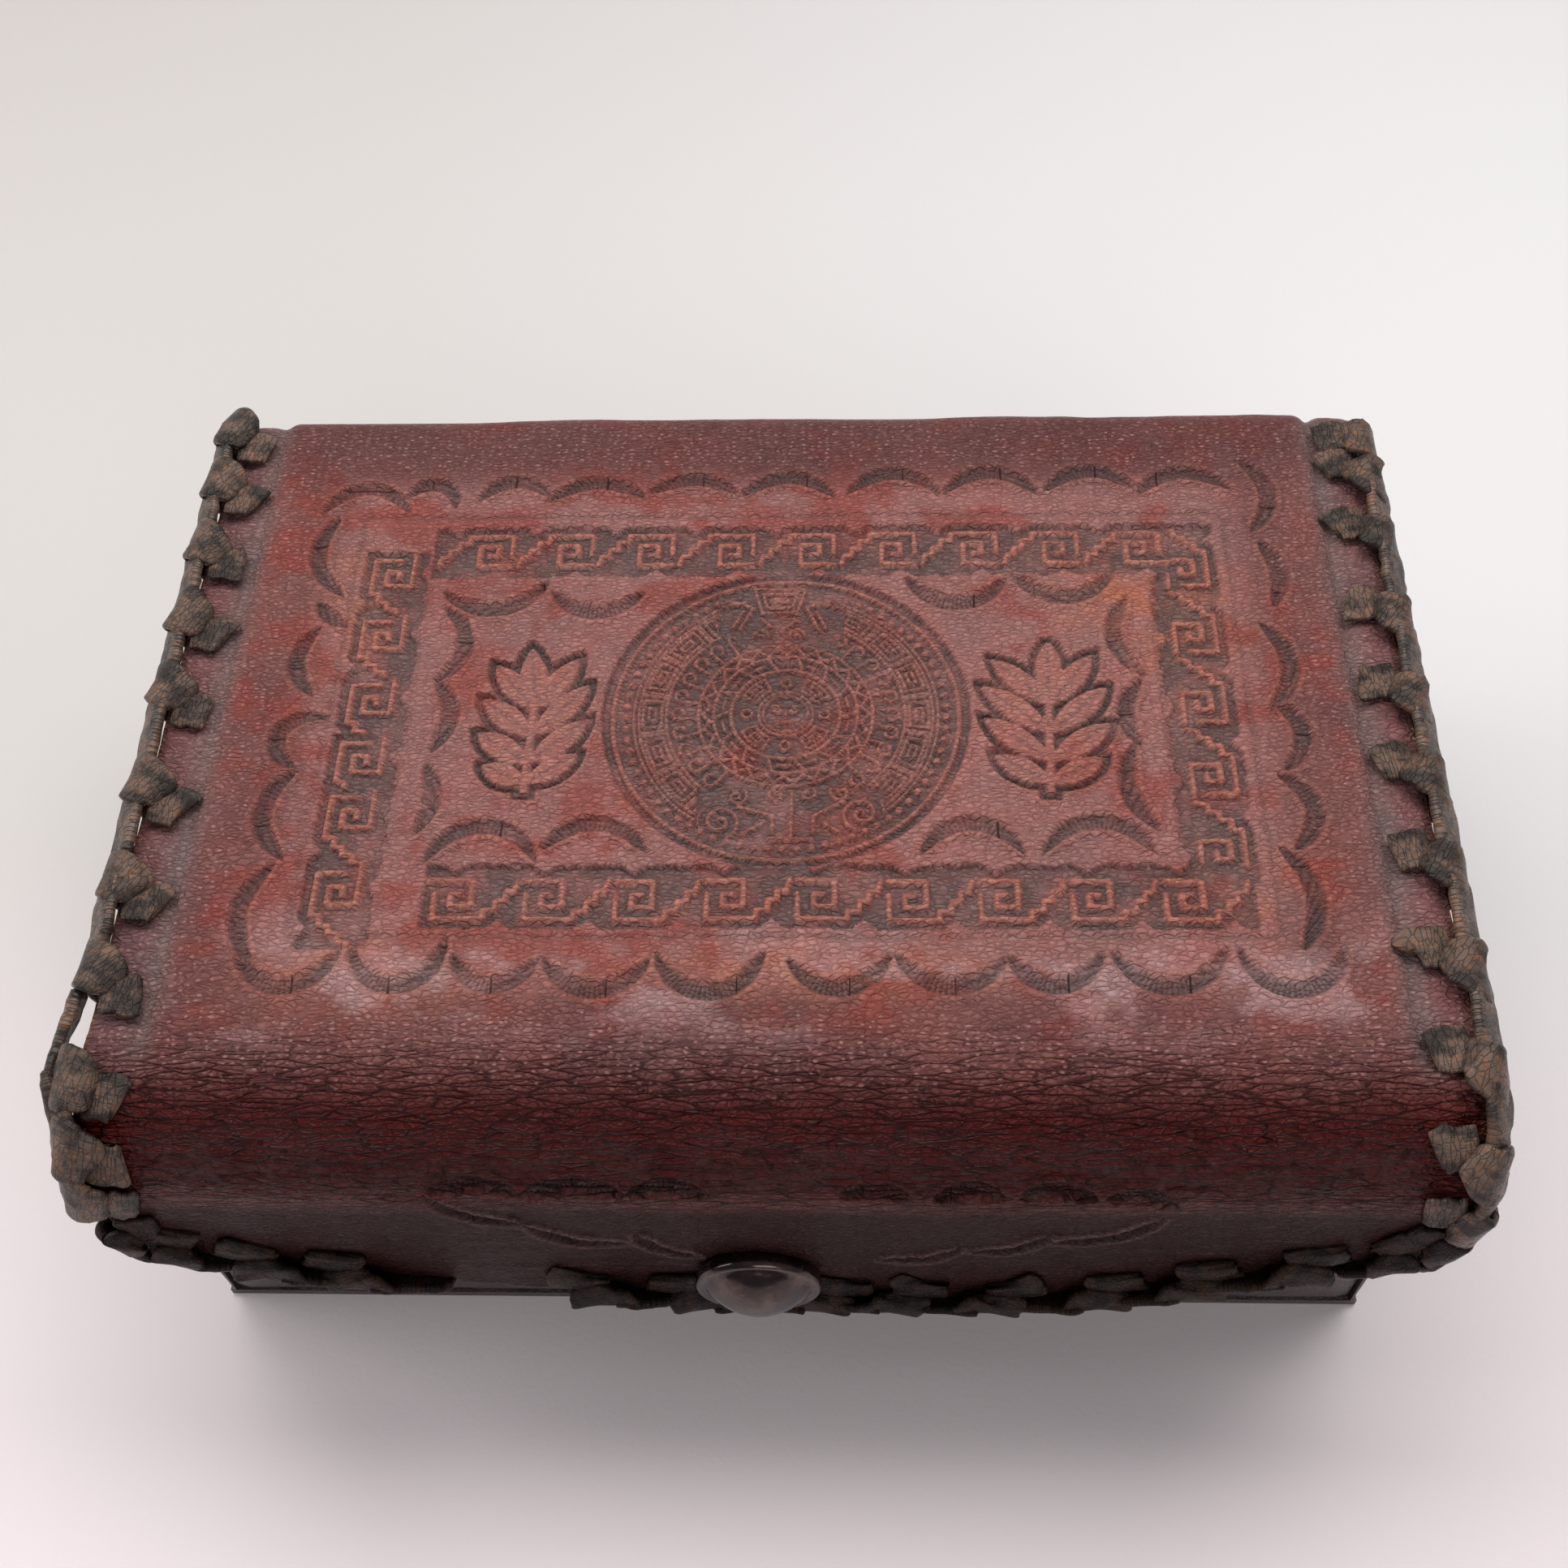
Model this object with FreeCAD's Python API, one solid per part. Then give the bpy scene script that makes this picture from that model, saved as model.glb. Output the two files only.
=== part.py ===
import FreeCAD, Part
import math
import os

from FreeCAD import Vector

# A laced, tooled-leather jewellery case with a hinged lid and a front flap that snaps shut.
#
# Millimetres. +X is to the right, +Z is up, and -Y is the side with the flap. The origin is at
# the centre of the case's footprint, on the surface it stands on.
#
# One hide runs from the flap, over the lid and down the back. The lid swings on it at the back
# top corner, and the flap bends on it below the rounded front of the lid.

# ---- driving dimensions ----------------------------------------------------------------------

CASE_WIDTH = 178.0            # over the lacings
CASE_DEPTH = 129.0            # from the snap cap's crown to the back
LID_TOP = 69.0                # smooth top of the lid above the table

HIDE = 2.0                    # the tooled hide of the flap, lid and back
BASE_HIDE = 1.5               # the thinner hide on the base
BOARD = 2.0                   # stiffening board in the base
LID_BOARD = 3.0               # stiffening board in the lid
LINING = 1.0                  # cloth-covered lining sheets
LID_LINING = 1.2              # the lid's and flap's inner leather
PAD = 3.0                     # padded floor

LACE = 1.5                    # thickness of the lace
LACE_REACH = 3.5              # how far the lace stands out past the leather's edge
LACE_MARGIN = 5.5             # from the leather's edge in to the row of lace holes
LACE_PITCH = 11.5             # from one stitch to the next
STITCH_LENGTH = 9.0           # length of one stitch along the edge

BOLSTER_RADIUS = 15.0         # rounded front of the lid, outside
HINGE_RADIUS = 4.0            # rounded back top corner, outside
HINGE_LEG = 9.0               # how far the bending strip reaches either side of the hinge axis
FLAP_DROP = 2.0               # straight leather below the bolster before the flap starts
FLAP_LACE_GAP = 1.5           # the flap's lacing stops this far below the bend, so it can tilt
CAP_CLEARANCE = 0.3           # between the snap's cap or socket and the lacing beside it

BASE_WIDTH = 168.0            # outside the base's side leathers
BASE_SETBACK = 8.0            # front of the base behind the flap's face
LID_CLEARANCE = 0.5           # between the lid's raised panel and the base's walls
RIM_CLEARANCE = 0.8           # between the lacing's underside and the base's side walls

SNAP_X = -2.6                 # the snap sits a little left of the middle
SNAP_Z = 33.2
CAP_RADIUS = 8.4
CAP_HEIGHT = 4.5
CAP_BRIM = 0.5                # straight rim under the cap's dome
SHANK_RADIUS = 2.0            # rivet shanks of both halves
SHANK_FIT = 0.05              # radial clearance round a shank
SOCKET_RADIUS = 6.2
SOCKET_HEIGHT = 2.9
SOCKET_MOUTH_RADIUS = 3.9
SOCKET_MOUTH_DEPTH = 2.2
STUD_RADIUS = 5.5
STUD_FLANGE = 0.8
STUD_HEAD_RADIUS = 3.4
STUD_HEAD_HEIGHT = 2.7
STUD_NECK_RADIUS = 2.7
POST_RADIUS = 5.0
POST_HEIGHT = 0.7

# Leather edge of the flap as (x, height above the table), from the right end of the bend round
# the lip to the left end. The lip was cut by hand, so its two halves differ. The ends leave a
# slit of 0.2 mm below the lid's leather.
FLAP_EDGE = [
    (85.5, 51.8),
    (84.2, 46.5),
    (79.5, 41.8),
    (70.0, 37.8),
    (58.0, 32.6),
    (46.0, 27.8),
    (32.0, 25.2),
    (12.0, 25.0),
    (-8.0, 25.2),
    (-26.0, 26.8),
    (-44.0, 28.9),
    (-60.0, 33.0),
    (-73.0, 37.2),
    (-81.0, 41.8),
    (-84.6, 46.5),
    (-85.5, 51.8),
]

# ---- dimensions worked out from those --------------------------------------------------------

FRONT = -CASE_DEPTH / 2
BACK = CASE_DEPTH / 2
FLAP_FACE = FRONT + CAP_HEIGHT
LEATHER_HALF = CASE_WIDTH / 2 - LACE_REACH
BEND_Y = FLAP_FACE + BOLSTER_RADIUS
BEND_Z = LID_TOP - BOLSTER_RADIUS
FLAP_TOP = BEND_Z - FLAP_DROP

BASE_HALF = BASE_WIDTH / 2
BASE_FRONT = FLAP_FACE + BASE_SETBACK
BOARD_HALF = BASE_HALF - BASE_HIDE
WALL_HALF = BOARD_HALF - BOARD
CAVITY_HALF = WALL_HALF - LINING
BOARD_FRONT = BASE_FRONT + BASE_HIDE
WALL_FRONT = BOARD_FRONT + BOARD
CAVITY_FRONT = WALL_FRONT + LINING
BOARD_BACK = BACK - HIDE
WALL_BACK = BOARD_BACK - BOARD
CAVITY_BACK = WALL_BACK - LINING
FLOOR_TOP = BASE_HIDE + BOARD

MARGIN_UNDERSIDE = LID_TOP - HIDE - LID_LINING
RIM = MARGIN_UNDERSIDE - LACE - RIM_CLEARANCE
RIM_TURN = 1.0                # leather turned over the top of a wall
RIM_CORNER = BOLSTER_RADIUS - HIDE - LID_LINING - LACE - RIM_CLEARANCE
FRONT_RIM = BEND_Z + math.sqrt(RIM_CORNER ** 2 - (BEND_Y - BASE_FRONT) ** 2)
BACK_RIM = RIM

PANEL_HALF = CAVITY_HALF - LID_CLEARANCE
PANEL_BACK = CAVITY_BACK - LID_CLEARANCE
PANEL_FRONT = BEND_Y - LINING
PANEL_UNDERSIDE = LID_TOP - HIDE - LID_BOARD - LINING

HINGE_ARC_Y = BACK - HINGE_RADIUS
HINGE_ARC_Z = LID_TOP - HINGE_RADIUS
HINGE_MID = (HINGE_RADIUS - HIDE / 2) * math.cos(math.radians(45))
HINGE_Y = HINGE_ARC_Y + HINGE_MID
HINGE_Z = HINGE_ARC_Z + HINGE_MID
LID_BACK = HINGE_Y - HINGE_LEG
BACK_LEATHER_TOP = HINGE_Z - HINGE_LEG


# ---- shapes used by more than one piece ------------------------------------------------------

def box(x_range, y_range, z_range):
    """A block from its low and high limits along each axis."""
    low = Vector(x_range[0], y_range[0], z_range[0])
    size = [high - start for start, high in (x_range, y_range, z_range)]
    return Part.makeBox(size[0], size[1], size[2], low)


def join(shapes):
    """One solid from several that touch."""
    joined = shapes[0].fuse(shapes[1:])
    return joined.removeSplitter()


def ring_point(centre, radius, angle):
    """A point of the Y-Z plane at an angle from +Y towards +Z, in degrees."""
    turn = math.radians(angle)
    return Vector(0, centre[0] + radius * math.cos(turn), centre[1] + radius * math.sin(turn))


def ring_sector(x_range, centre, radii, angles):
    """Part of a thick tube lying along X, between two radii and two angles."""
    inner, outer = radii
    start, end = angles
    middle = (start + end) / 2
    outside = Part.Arc(*[ring_point(centre, outer, a) for a in (start, middle, end)]).toShape()
    inside = Part.Arc(*[ring_point(centre, inner, a) for a in (end, middle, start)]).toShape()
    step_in = Part.makeLine(ring_point(centre, outer, end), ring_point(centre, inner, end))
    step_out = Part.makeLine(ring_point(centre, inner, start), ring_point(centre, outer, start))
    face = Part.Face(Part.Wire([outside, step_in, inside, step_out]))
    face.translate(Vector(x_range[0], 0, 0))
    return face.extrude(Vector(x_range[1] - x_range[0], 0, 0))


def lid_sheet(x_range, depths, back):
    """A sheet that follows the lid forward from back, over the bolster and down to the flap.

    depths are the sheet's two faces, measured inward from the lid's outer face.
    """
    shallow, deep = depths
    top = box(x_range, (BEND_Y, back), (LID_TOP - deep, LID_TOP - shallow))
    radii = (BOLSTER_RADIUS - deep, BOLSTER_RADIUS - shallow)
    bolster = ring_sector(x_range, (BEND_Y, BEND_Z), radii, (90, 180))
    drop = box(x_range, (FLAP_FACE + shallow, FLAP_FACE + deep), (FLAP_TOP, BEND_Z))
    return join([top, bolster, drop])


def disc(radius, y_range, x=SNAP_X, z=SNAP_Z):
    """A round plate on the snap's axis."""
    return Part.makeCylinder(radius, y_range[1] - y_range[0], Vector(x, y_range[0], z), Vector(0, 1, 0))


def flap_edge_curve(offset):
    """The flap's leather edge, moved outward by offset."""
    points = [Vector(x, 0, z) for x, z in FLAP_EDGE]
    edge = Part.BSplineCurve()
    edge.interpolate(points)
    if offset == 0:
        return edge
    moved = []
    for point in points:
        tangent = edge.tangent(edge.parameter(point))[0]
        moved.append(point + Vector(-tangent.z, 0, tangent.x) * offset)
    shifted = Part.BSplineCurve()
    shifted.interpolate(moved)
    return shifted


def flap_sheet(y_range):
    """The flap's outline as a sheet, with the hole for the snap's shank."""
    edge = flap_edge_curve(0).toShape()
    left = edge.Vertexes[-1].Point
    right = edge.Vertexes[0].Point
    face = Part.Face(Part.Wire([edge, Part.makeLine(left, right)]))
    face.translate(Vector(0, y_range[0], 0))
    sheet = face.extrude(Vector(0, y_range[1] - y_range[0], 0))
    return sheet.cut(disc(SHANK_RADIUS + SHANK_FIT, y_range))


# ---- base: boards ----------------------------------------------------------------------------

def side_profile(y_front, z_low, top, corner_radius, x_range):
    """A side wall whose front top corner is rounded to follow the lid's bolster."""
    foot = Vector(0, y_front, z_low)
    corner_z = BEND_Z + math.sqrt(corner_radius ** 2 - (BEND_Y - y_front) ** 2)
    front_top = Vector(0, y_front, corner_z)
    start_angle = math.degrees(math.atan2(corner_z - BEND_Z, y_front - BEND_Y))
    middle = ring_point((BEND_Y, BEND_Z), corner_radius, (start_angle + 90) / 2)
    crest = Vector(0, BEND_Y, top)
    back_top = Vector(0, BOARD_BACK, top)
    heel = Vector(0, BOARD_BACK, z_low)
    edges = [
        Part.makeLine(foot, front_top),
        Part.Arc(front_top, middle, crest).toShape(),
        Part.makeLine(crest, back_top),
        Part.makeLine(back_top, heel),
        Part.makeLine(heel, foot),
    ]
    face = Part.Face(Part.Wire(edges))
    face.translate(Vector(x_range[0], 0, 0))
    return face.extrude(Vector(x_range[1] - x_range[0], 0, 0))


def mirrored(shape):
    """The same shape on the other side of the case."""
    return shape.mirror(Vector(0, 0, 0), Vector(1, 0, 0))


def bottom_board():
    return box((-BOARD_HALF, BOARD_HALF), (BOARD_FRONT, BOARD_BACK), (BASE_HIDE, FLOOR_TOP))


def right_board():
    return side_profile(
        BOARD_FRONT, FLOOR_TOP, RIM - RIM_TURN, RIM_CORNER - RIM_TURN, (WALL_HALF, BOARD_HALF)
    )


def left_board():
    return mirrored(right_board())


def front_board():
    wall = box(
        (-WALL_HALF, WALL_HALF), (BOARD_FRONT, WALL_FRONT), (FLOOR_TOP, FRONT_RIM - RIM_TURN)
    )
    return wall.cut(disc(SHANK_RADIUS + SHANK_FIT, (BOARD_FRONT, WALL_FRONT)))


def back_board():
    return box((-WALL_HALF, WALL_HALF), (WALL_BACK, BOARD_BACK), (FLOOR_TOP, BACK_RIM - RIM_TURN))


# ---- base: leathers --------------------------------------------------------------------------

def bottom_leather():
    return box((-BASE_HALF, BASE_HALF), (BASE_FRONT, BACK), (0, BASE_HIDE))


def right_leather():
    """Side leather, turned over the top of the side board."""
    skin = side_profile(BASE_FRONT, BASE_HIDE, RIM, RIM_CORNER, (WALL_HALF, BASE_HALF))
    core = side_profile(
        BOARD_FRONT, BASE_HIDE, RIM - RIM_TURN, RIM_CORNER - RIM_TURN, (WALL_HALF, BOARD_HALF)
    )
    corner = box((WALL_HALF, BOARD_HALF), (BASE_FRONT, BOARD_FRONT), (BASE_HIDE, RIM))
    return skin.cut(core).cut(corner)


def left_leather():
    return mirrored(right_leather())


def front_leather():
    """Front leather between the side leathers, turned over the top of the front board."""
    wall = box((-BOARD_HALF, BOARD_HALF), (BASE_FRONT, BOARD_FRONT), (BASE_HIDE, FRONT_RIM))
    turn = box((-WALL_HALF, WALL_HALF), (BASE_FRONT, WALL_FRONT), (FRONT_RIM - RIM_TURN, FRONT_RIM))
    shank = disc(SHANK_RADIUS + SHANK_FIT, (BASE_FRONT, BOARD_FRONT))
    return join([wall, turn]).cut(shank)


def back_leather():
    return box((-BASE_HALF, BASE_HALF), (BOARD_BACK, BACK), (BASE_HIDE, BACK_LEATHER_TOP))


def hinge_strip():
    """The hide where it turns the back top corner: the case's living hinge."""
    x_range = (-LEATHER_HALF, LEATHER_HALF)
    top = box(x_range, (LID_BACK, HINGE_ARC_Y), (LID_TOP - HIDE, LID_TOP))
    radii = (HINGE_RADIUS - HIDE, HINGE_RADIUS)
    corner = ring_sector(x_range, (HINGE_ARC_Y, HINGE_ARC_Z), radii, (0, 90))
    drop = box(x_range, (BOARD_BACK, BACK), (BACK_LEATHER_TOP, HINGE_ARC_Z))
    return join([top, corner, drop])


# ---- base: lining ----------------------------------------------------------------------------

def right_lining():
    return box((CAVITY_HALF, WALL_HALF), (CAVITY_FRONT, CAVITY_BACK), (FLOOR_TOP, RIM - RIM_TURN))


def left_lining():
    return mirrored(right_lining())


def front_lining():
    """Front lining, which also covers the back of the stud's post."""
    sheet = box(
        (-WALL_HALF, WALL_HALF), (WALL_FRONT, CAVITY_FRONT), (FLOOR_TOP, FRONT_RIM - RIM_TURN)
    )
    return sheet.cut(disc(POST_RADIUS + SHANK_FIT, (WALL_FRONT, WALL_FRONT + POST_HEIGHT)))


def back_lining():
    return box((-WALL_HALF, WALL_HALF), (CAVITY_BACK, WALL_BACK), (FLOOR_TOP, BACK_RIM - RIM_TURN))


def floor_pad():
    return box(
        (-CAVITY_HALF, CAVITY_HALF), (CAVITY_FRONT, CAVITY_BACK), (FLOOR_TOP, FLOOR_TOP + PAD)
    )


# ---- snap ------------------------------------------------------------------------------------

def snap_cap():
    """Domed cap outside the flap, with the shank that rivets it to the socket."""
    rise = CAP_HEIGHT - CAP_BRIM
    dome_radius = (CAP_RADIUS ** 2 + rise ** 2) / (2 * rise)
    half_radius = CAP_RADIUS / 2
    half_drop = dome_radius - math.sqrt(dome_radius ** 2 - half_radius ** 2)
    crown = Vector(SNAP_X, FRONT, SNAP_Z)
    shoulder = Vector(SNAP_X + half_radius, FRONT + half_drop, SNAP_Z)
    brim = Vector(SNAP_X + CAP_RADIUS, FRONT + rise, SNAP_Z)
    edge = Vector(SNAP_X + CAP_RADIUS, FLAP_FACE, SNAP_Z)
    seat = Vector(SNAP_X, FLAP_FACE, SNAP_Z)
    profile = [
        Part.Arc(crown, shoulder, brim).toShape(),
        Part.makeLine(brim, edge),
        Part.makeLine(edge, seat),
        Part.makeLine(seat, crown),
    ]
    dome = Part.Face(Part.Wire(profile)).revolve(crown, Vector(0, 1, 0), 360)
    shank = disc(SHANK_RADIUS, (FLAP_FACE, FLAP_FACE + HIDE + LID_LINING))
    return join([dome, shank])


def snap_socket():
    """Ring behind the flap that grips the stud."""
    seat = FLAP_FACE + HIDE + LID_LINING
    mouth = seat + SOCKET_HEIGHT
    body = disc(SOCKET_RADIUS, (seat, mouth))
    return body.cut(disc(SOCKET_MOUTH_RADIUS, (mouth - SOCKET_MOUTH_DEPTH, mouth)))


def snap_stud():
    """Stud on the front wall: flange, neck and a fuller head, with its shank through the wall."""
    face = BASE_FRONT - STUD_FLANGE
    tip = face - STUD_HEAD_HEIGHT
    neck_length = STUD_HEAD_HEIGHT / 2
    flange = disc(STUD_RADIUS, (face, BASE_FRONT))
    neck = disc(STUD_NECK_RADIUS, (face - neck_length, face))
    head = disc(STUD_HEAD_RADIUS, (tip, face - neck_length))
    head = head.makeFillet(0.5, head.Edges)
    shank = disc(SHANK_RADIUS, (BASE_FRONT, WALL_FRONT))
    return join([flange, neck, head, shank])


def snap_post():
    """Head of the stud's rivet, between the front board and the lining."""
    return disc(POST_RADIUS, (WALL_FRONT, WALL_FRONT + POST_HEIGHT))


# ---- lid -------------------------------------------------------------------------------------

def lid_cover():
    return lid_sheet((-LEATHER_HALF, LEATHER_HALF), (0, HIDE), LID_BACK)


def lid_board():
    half = PANEL_HALF - LINING
    z_range = (LID_TOP - HIDE - LID_BOARD, LID_TOP - HIDE)
    return box((-half, half), (BEND_Y, PANEL_BACK - LINING), z_range)


def lid_lining():
    """Inner leather: margins laced to the cover, bolster backing, and a pan round the board."""
    backing = lid_sheet((-LEATHER_HALF, LEATHER_HALF), (HIDE, HIDE + LID_LINING), PANEL_BACK)
    pan = box(
        (-PANEL_HALF, PANEL_HALF), (PANEL_FRONT, PANEL_BACK), (PANEL_UNDERSIDE, MARGIN_UNDERSIDE)
    )
    return join([backing, pan]).cut(lid_board())


def right_lacing():
    """Lacing of the lid's right edge: the strand along the edge and a strap for each stitch."""
    half = LEATHER_HALF
    inner = half - LACE_MARGIN
    outer = half + LACE_REACH
    centre = (BEND_Y, BEND_Z)
    thickness = HIDE + LID_LINING
    over = (BOLSTER_RADIUS, BOLSTER_RADIUS + LACE)
    under = (BOLSTER_RADIUS - thickness - LACE, BOLSTER_RADIUS - thickness)
    edge = (under[0], over[1])
    strand = [
        box((half, outer), (BEND_Y, PANEL_BACK), (BEND_Z + edge[0], BEND_Z + edge[1])),
        ring_sector((half, outer), centre, edge, (90, 180)),
        box((half, outer), (BEND_Y - edge[1], BEND_Y - edge[0]), (FLAP_TOP, BEND_Z)),
    ]
    straps = []
    count = int((PANEL_BACK - BEND_Y) / LACE_PITCH)
    for index in range(count):
        start = PANEL_BACK - index * LACE_PITCH - STITCH_LENGTH
        for low, high in (over, under):
            y_range = (start, start + STITCH_LENGTH)
            straps.append(box((inner, half), y_range, (BEND_Z + low, BEND_Z + high)))
    arc_pitch = math.degrees(LACE_PITCH / BOLSTER_RADIUS)
    arc_length = math.degrees(STITCH_LENGTH / BOLSTER_RADIUS)
    for index in range(2):
        start = 92 + index * arc_pitch
        for radii in (over, under):
            straps.append(ring_sector((inner, half), centre, radii, (start, start + arc_length)))
    return join(strand + straps)


def left_lacing():
    return mirrored(right_lacing())


# ---- flap ------------------------------------------------------------------------------------

def flap_leather():
    return flap_sheet((FLAP_FACE, FLAP_FACE + HIDE))


def flap_lining():
    return flap_sheet((FLAP_FACE + HIDE, FLAP_FACE + HIDE + LID_LINING))


def flap_lacing():
    """Lacing round the flap's lip: the strand along the edge and a strap for each stitch."""
    back_face = FLAP_FACE + HIDE + LID_LINING
    inner_edge = flap_edge_curve(0)
    outer_edge = flap_edge_curve(LACE_REACH - 0.5)
    near, far = inner_edge.toShape(), outer_edge.toShape()
    closing = [
        Part.makeLine(near.Vertexes[0].Point, far.Vertexes[0].Point),
        Part.makeLine(near.Vertexes[-1].Point, far.Vertexes[-1].Point),
    ]
    face = Part.Face(Part.Wire(Part.__sortEdges__([near, far] + closing)))
    face.translate(Vector(0, FLAP_FACE - LACE, 0))
    strand = face.extrude(Vector(0, back_face + LACE - FLAP_FACE + LACE, 0))
    straps = []
    count = int(near.Length / LACE_PITCH)
    for index in range(count):
        along = (index + 0.5) * near.Length / count
        parameter = near.getParameterByLength(along)
        point = inner_edge.value(parameter)
        tangent = inner_edge.tangent(parameter)[0]
        heading = math.degrees(math.atan2(tangent.z, tangent.x))
        for y_low, y_high in ((FLAP_FACE - LACE, FLAP_FACE), (back_face, back_face + LACE)):
            strap = box(
                (-STITCH_LENGTH / 2, STITCH_LENGTH / 2), (y_low, y_high), (-1.0, LACE_MARGIN)
            )
            strap.rotate(Vector(0, 0, 0), Vector(0, 1, 0), 180 - heading)
            strap.translate(Vector(point.x, 0, point.z))
            straps.append(strap)
    under_cap = disc(CAP_RADIUS + CAP_CLEARANCE, (FRONT, FLAP_FACE))
    round_socket = disc(SOCKET_RADIUS + CAP_CLEARANCE, (back_face, back_face + LACE))
    lacing = join([strand] + straps).cut(under_cap).cut(round_socket)
    keep = box((-CASE_WIDTH, CASE_WIDTH), (FRONT, BACK), (0, FLAP_TOP - FLAP_LACE_GAP))
    return lacing.common(keep)


# ---- the whole case --------------------------------------------------------------------------

PIECES = {
    "bottom_leather": bottom_leather,
    "bottom_board": bottom_board,
    "front_board": front_board,
    "back_board": back_board,
    "left_board": left_board,
    "right_board": right_board,
    "front_leather": front_leather,
    "back_leather": back_leather,
    "left_leather": left_leather,
    "right_leather": right_leather,
    "front_lining": front_lining,
    "back_lining": back_lining,
    "left_lining": left_lining,
    "right_lining": right_lining,
    "floor_pad": floor_pad,
    "snap_stud": snap_stud,
    "snap_post": snap_post,
    "hinge_strip": hinge_strip,
    "lid_cover": lid_cover,
    "lid_board": lid_board,
    "lid_lining": lid_lining,
    "left_lacing": left_lacing,
    "right_lacing": right_lacing,
    "flap_leather": flap_leather,
    "flap_lining": flap_lining,
    "flap_lacing": flap_lacing,
    "snap_cap": snap_cap,
    "snap_socket": snap_socket,
}


def main():
    os.makedirs("parts", exist_ok=True)
    for name, make in PIECES.items():
        shape = make()
        print(f"{name}: {len(shape.Solids)} solid, {shape.Volume / 1000:.2f} cm3, "
              f"valid {shape.isValid()}")
        shape.exportStep(f"parts/{name}.step")
    print(f"lid hinge at y {HINGE_Y:.3f}, z {HINGE_Z:.3f}")
    print(f"flap bend at y {FLAP_FACE:.3f}, z {FLAP_TOP:.3f}")
    print(f"cavity x {CAVITY_HALF:.2f}, y {CAVITY_FRONT:.2f} to {CAVITY_BACK:.2f}, "
          f"z {FLOOR_TOP + PAD:.2f} to {PANEL_UNDERSIDE:.2f}")


main()
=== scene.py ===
import math

import bpy
import numpy as np
from mathutils import Matrix, Vector


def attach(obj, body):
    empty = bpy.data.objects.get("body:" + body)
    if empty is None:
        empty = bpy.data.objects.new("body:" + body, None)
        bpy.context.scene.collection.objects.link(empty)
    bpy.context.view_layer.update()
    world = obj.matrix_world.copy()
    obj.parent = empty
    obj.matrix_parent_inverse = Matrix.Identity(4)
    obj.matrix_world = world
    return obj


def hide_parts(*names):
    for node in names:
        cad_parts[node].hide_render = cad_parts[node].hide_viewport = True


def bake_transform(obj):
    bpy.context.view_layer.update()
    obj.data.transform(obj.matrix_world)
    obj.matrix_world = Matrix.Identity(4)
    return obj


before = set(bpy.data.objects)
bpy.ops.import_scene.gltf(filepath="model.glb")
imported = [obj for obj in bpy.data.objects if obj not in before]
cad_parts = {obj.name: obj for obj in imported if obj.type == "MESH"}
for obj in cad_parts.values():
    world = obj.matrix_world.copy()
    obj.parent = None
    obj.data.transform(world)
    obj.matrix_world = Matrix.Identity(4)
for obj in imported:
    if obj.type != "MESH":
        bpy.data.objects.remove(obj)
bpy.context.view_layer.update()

# A tooled-leather jewellery case: relief, lacing, snap, base and lining, built round the frame.
# Lengths are millimetres until a mesh is made. The hide is described in unrolled coordinates:
# u runs along X and v runs back over the lid, and h stands out from the hide's outer face.

MM = 0.001
LID_TOP = 69.0
V_TO_Y = 6.0                    # y of a point on the flat of the lid is v + V_TO_Y
LEATHER_HALF = 85.5             # leather's side edges
HIDE = 2.0                      # thickness of the hide
TOOLING_DEPTH = 1.3             # how much deeper the stamps are than drawn
BOLSTER_V, BOLSTER_R = -51.0, 15.0
CORNER_V, CORNER_R = 54.5, 4.0  # rounded back top corner
DROP_V = BOLSTER_V - BOLSTER_R * math.pi / 2
Z_TO_V = DROP_V - (LID_TOP - BOLSTER_R)  # v of a point on the flap is z + Z_TO_V
FLAP_FACE = -60.0
JOIN_V = 47.621                 # where the lid's piece of hide meets the hinge's
SNAP = (-2.6, 33.2)
MEDALLION = (0.7, 0.0)
MEDALLION_R = 25.4
MEDALLION_RINGS = [             # (radius, width of the line)
    (23.8, 0.6), (20.9, 0.3), (20.2, 0.3), (16.4, 0.4), (12.0, 0.4), (9.9, 0.4), (7.5, 0.5),
    (3.75, 0.35), (3.1, 0.25),
]
PLAQUE_X = -1.2                 # middle of the plaque at the medallion's top
TOOTH_PITCH = 0.78              # from one hatching line of a crescent to the next

# Leather edge of the flap, (x, z) from its right end round the lip to its left end.
FLAP_EDGE = [
    (85.5, 51.8), (84.2, 46.5), (79.5, 41.8), (70.0, 37.8), (58.0, 32.6), (46.0, 27.8),
    (32.0, 25.2), (12.0, 25.0), (-8.0, 25.2), (-26.0, 26.8), (-44.0, 28.9), (-60.0, 33.0),
    (-73.0, 37.2), (-81.0, 41.8), (-84.6, 46.5), (-85.5, 51.8),
]


# ---- numbers ---------------------------------------------------------------------------------

def ramp(x, low, high):
    """Smooth step from 0 at low to 1 at high."""
    t = np.clip((x - low) / (high - low), 0, 1)
    return t * t * (3 - 2 * t)


def bump(x, width):
    """A rounded ridge of height 1 at x = 0."""
    return np.exp(-((x / width) ** 2))


def noise(x, y, seed):
    """Smooth noise from -1 to 1 with unit cells."""
    table = np.random.default_rng(seed).uniform(-1, 1, (256, 256))
    xi, yi = np.floor(x).astype(int), np.floor(y).astype(int)
    fx, fy = x - xi, y - yi
    fx, fy = fx * fx * (3 - 2 * fx), fy * fy * (3 - 2 * fy)
    rows = [
        table[yi + r & 255, xi & 255] * (1 - fx) + table[yi + r & 255, xi + 1 & 255] * fx
        for r in (0, 1)
    ]
    return rows[0] * (1 - fy) + rows[1] * fy


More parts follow.
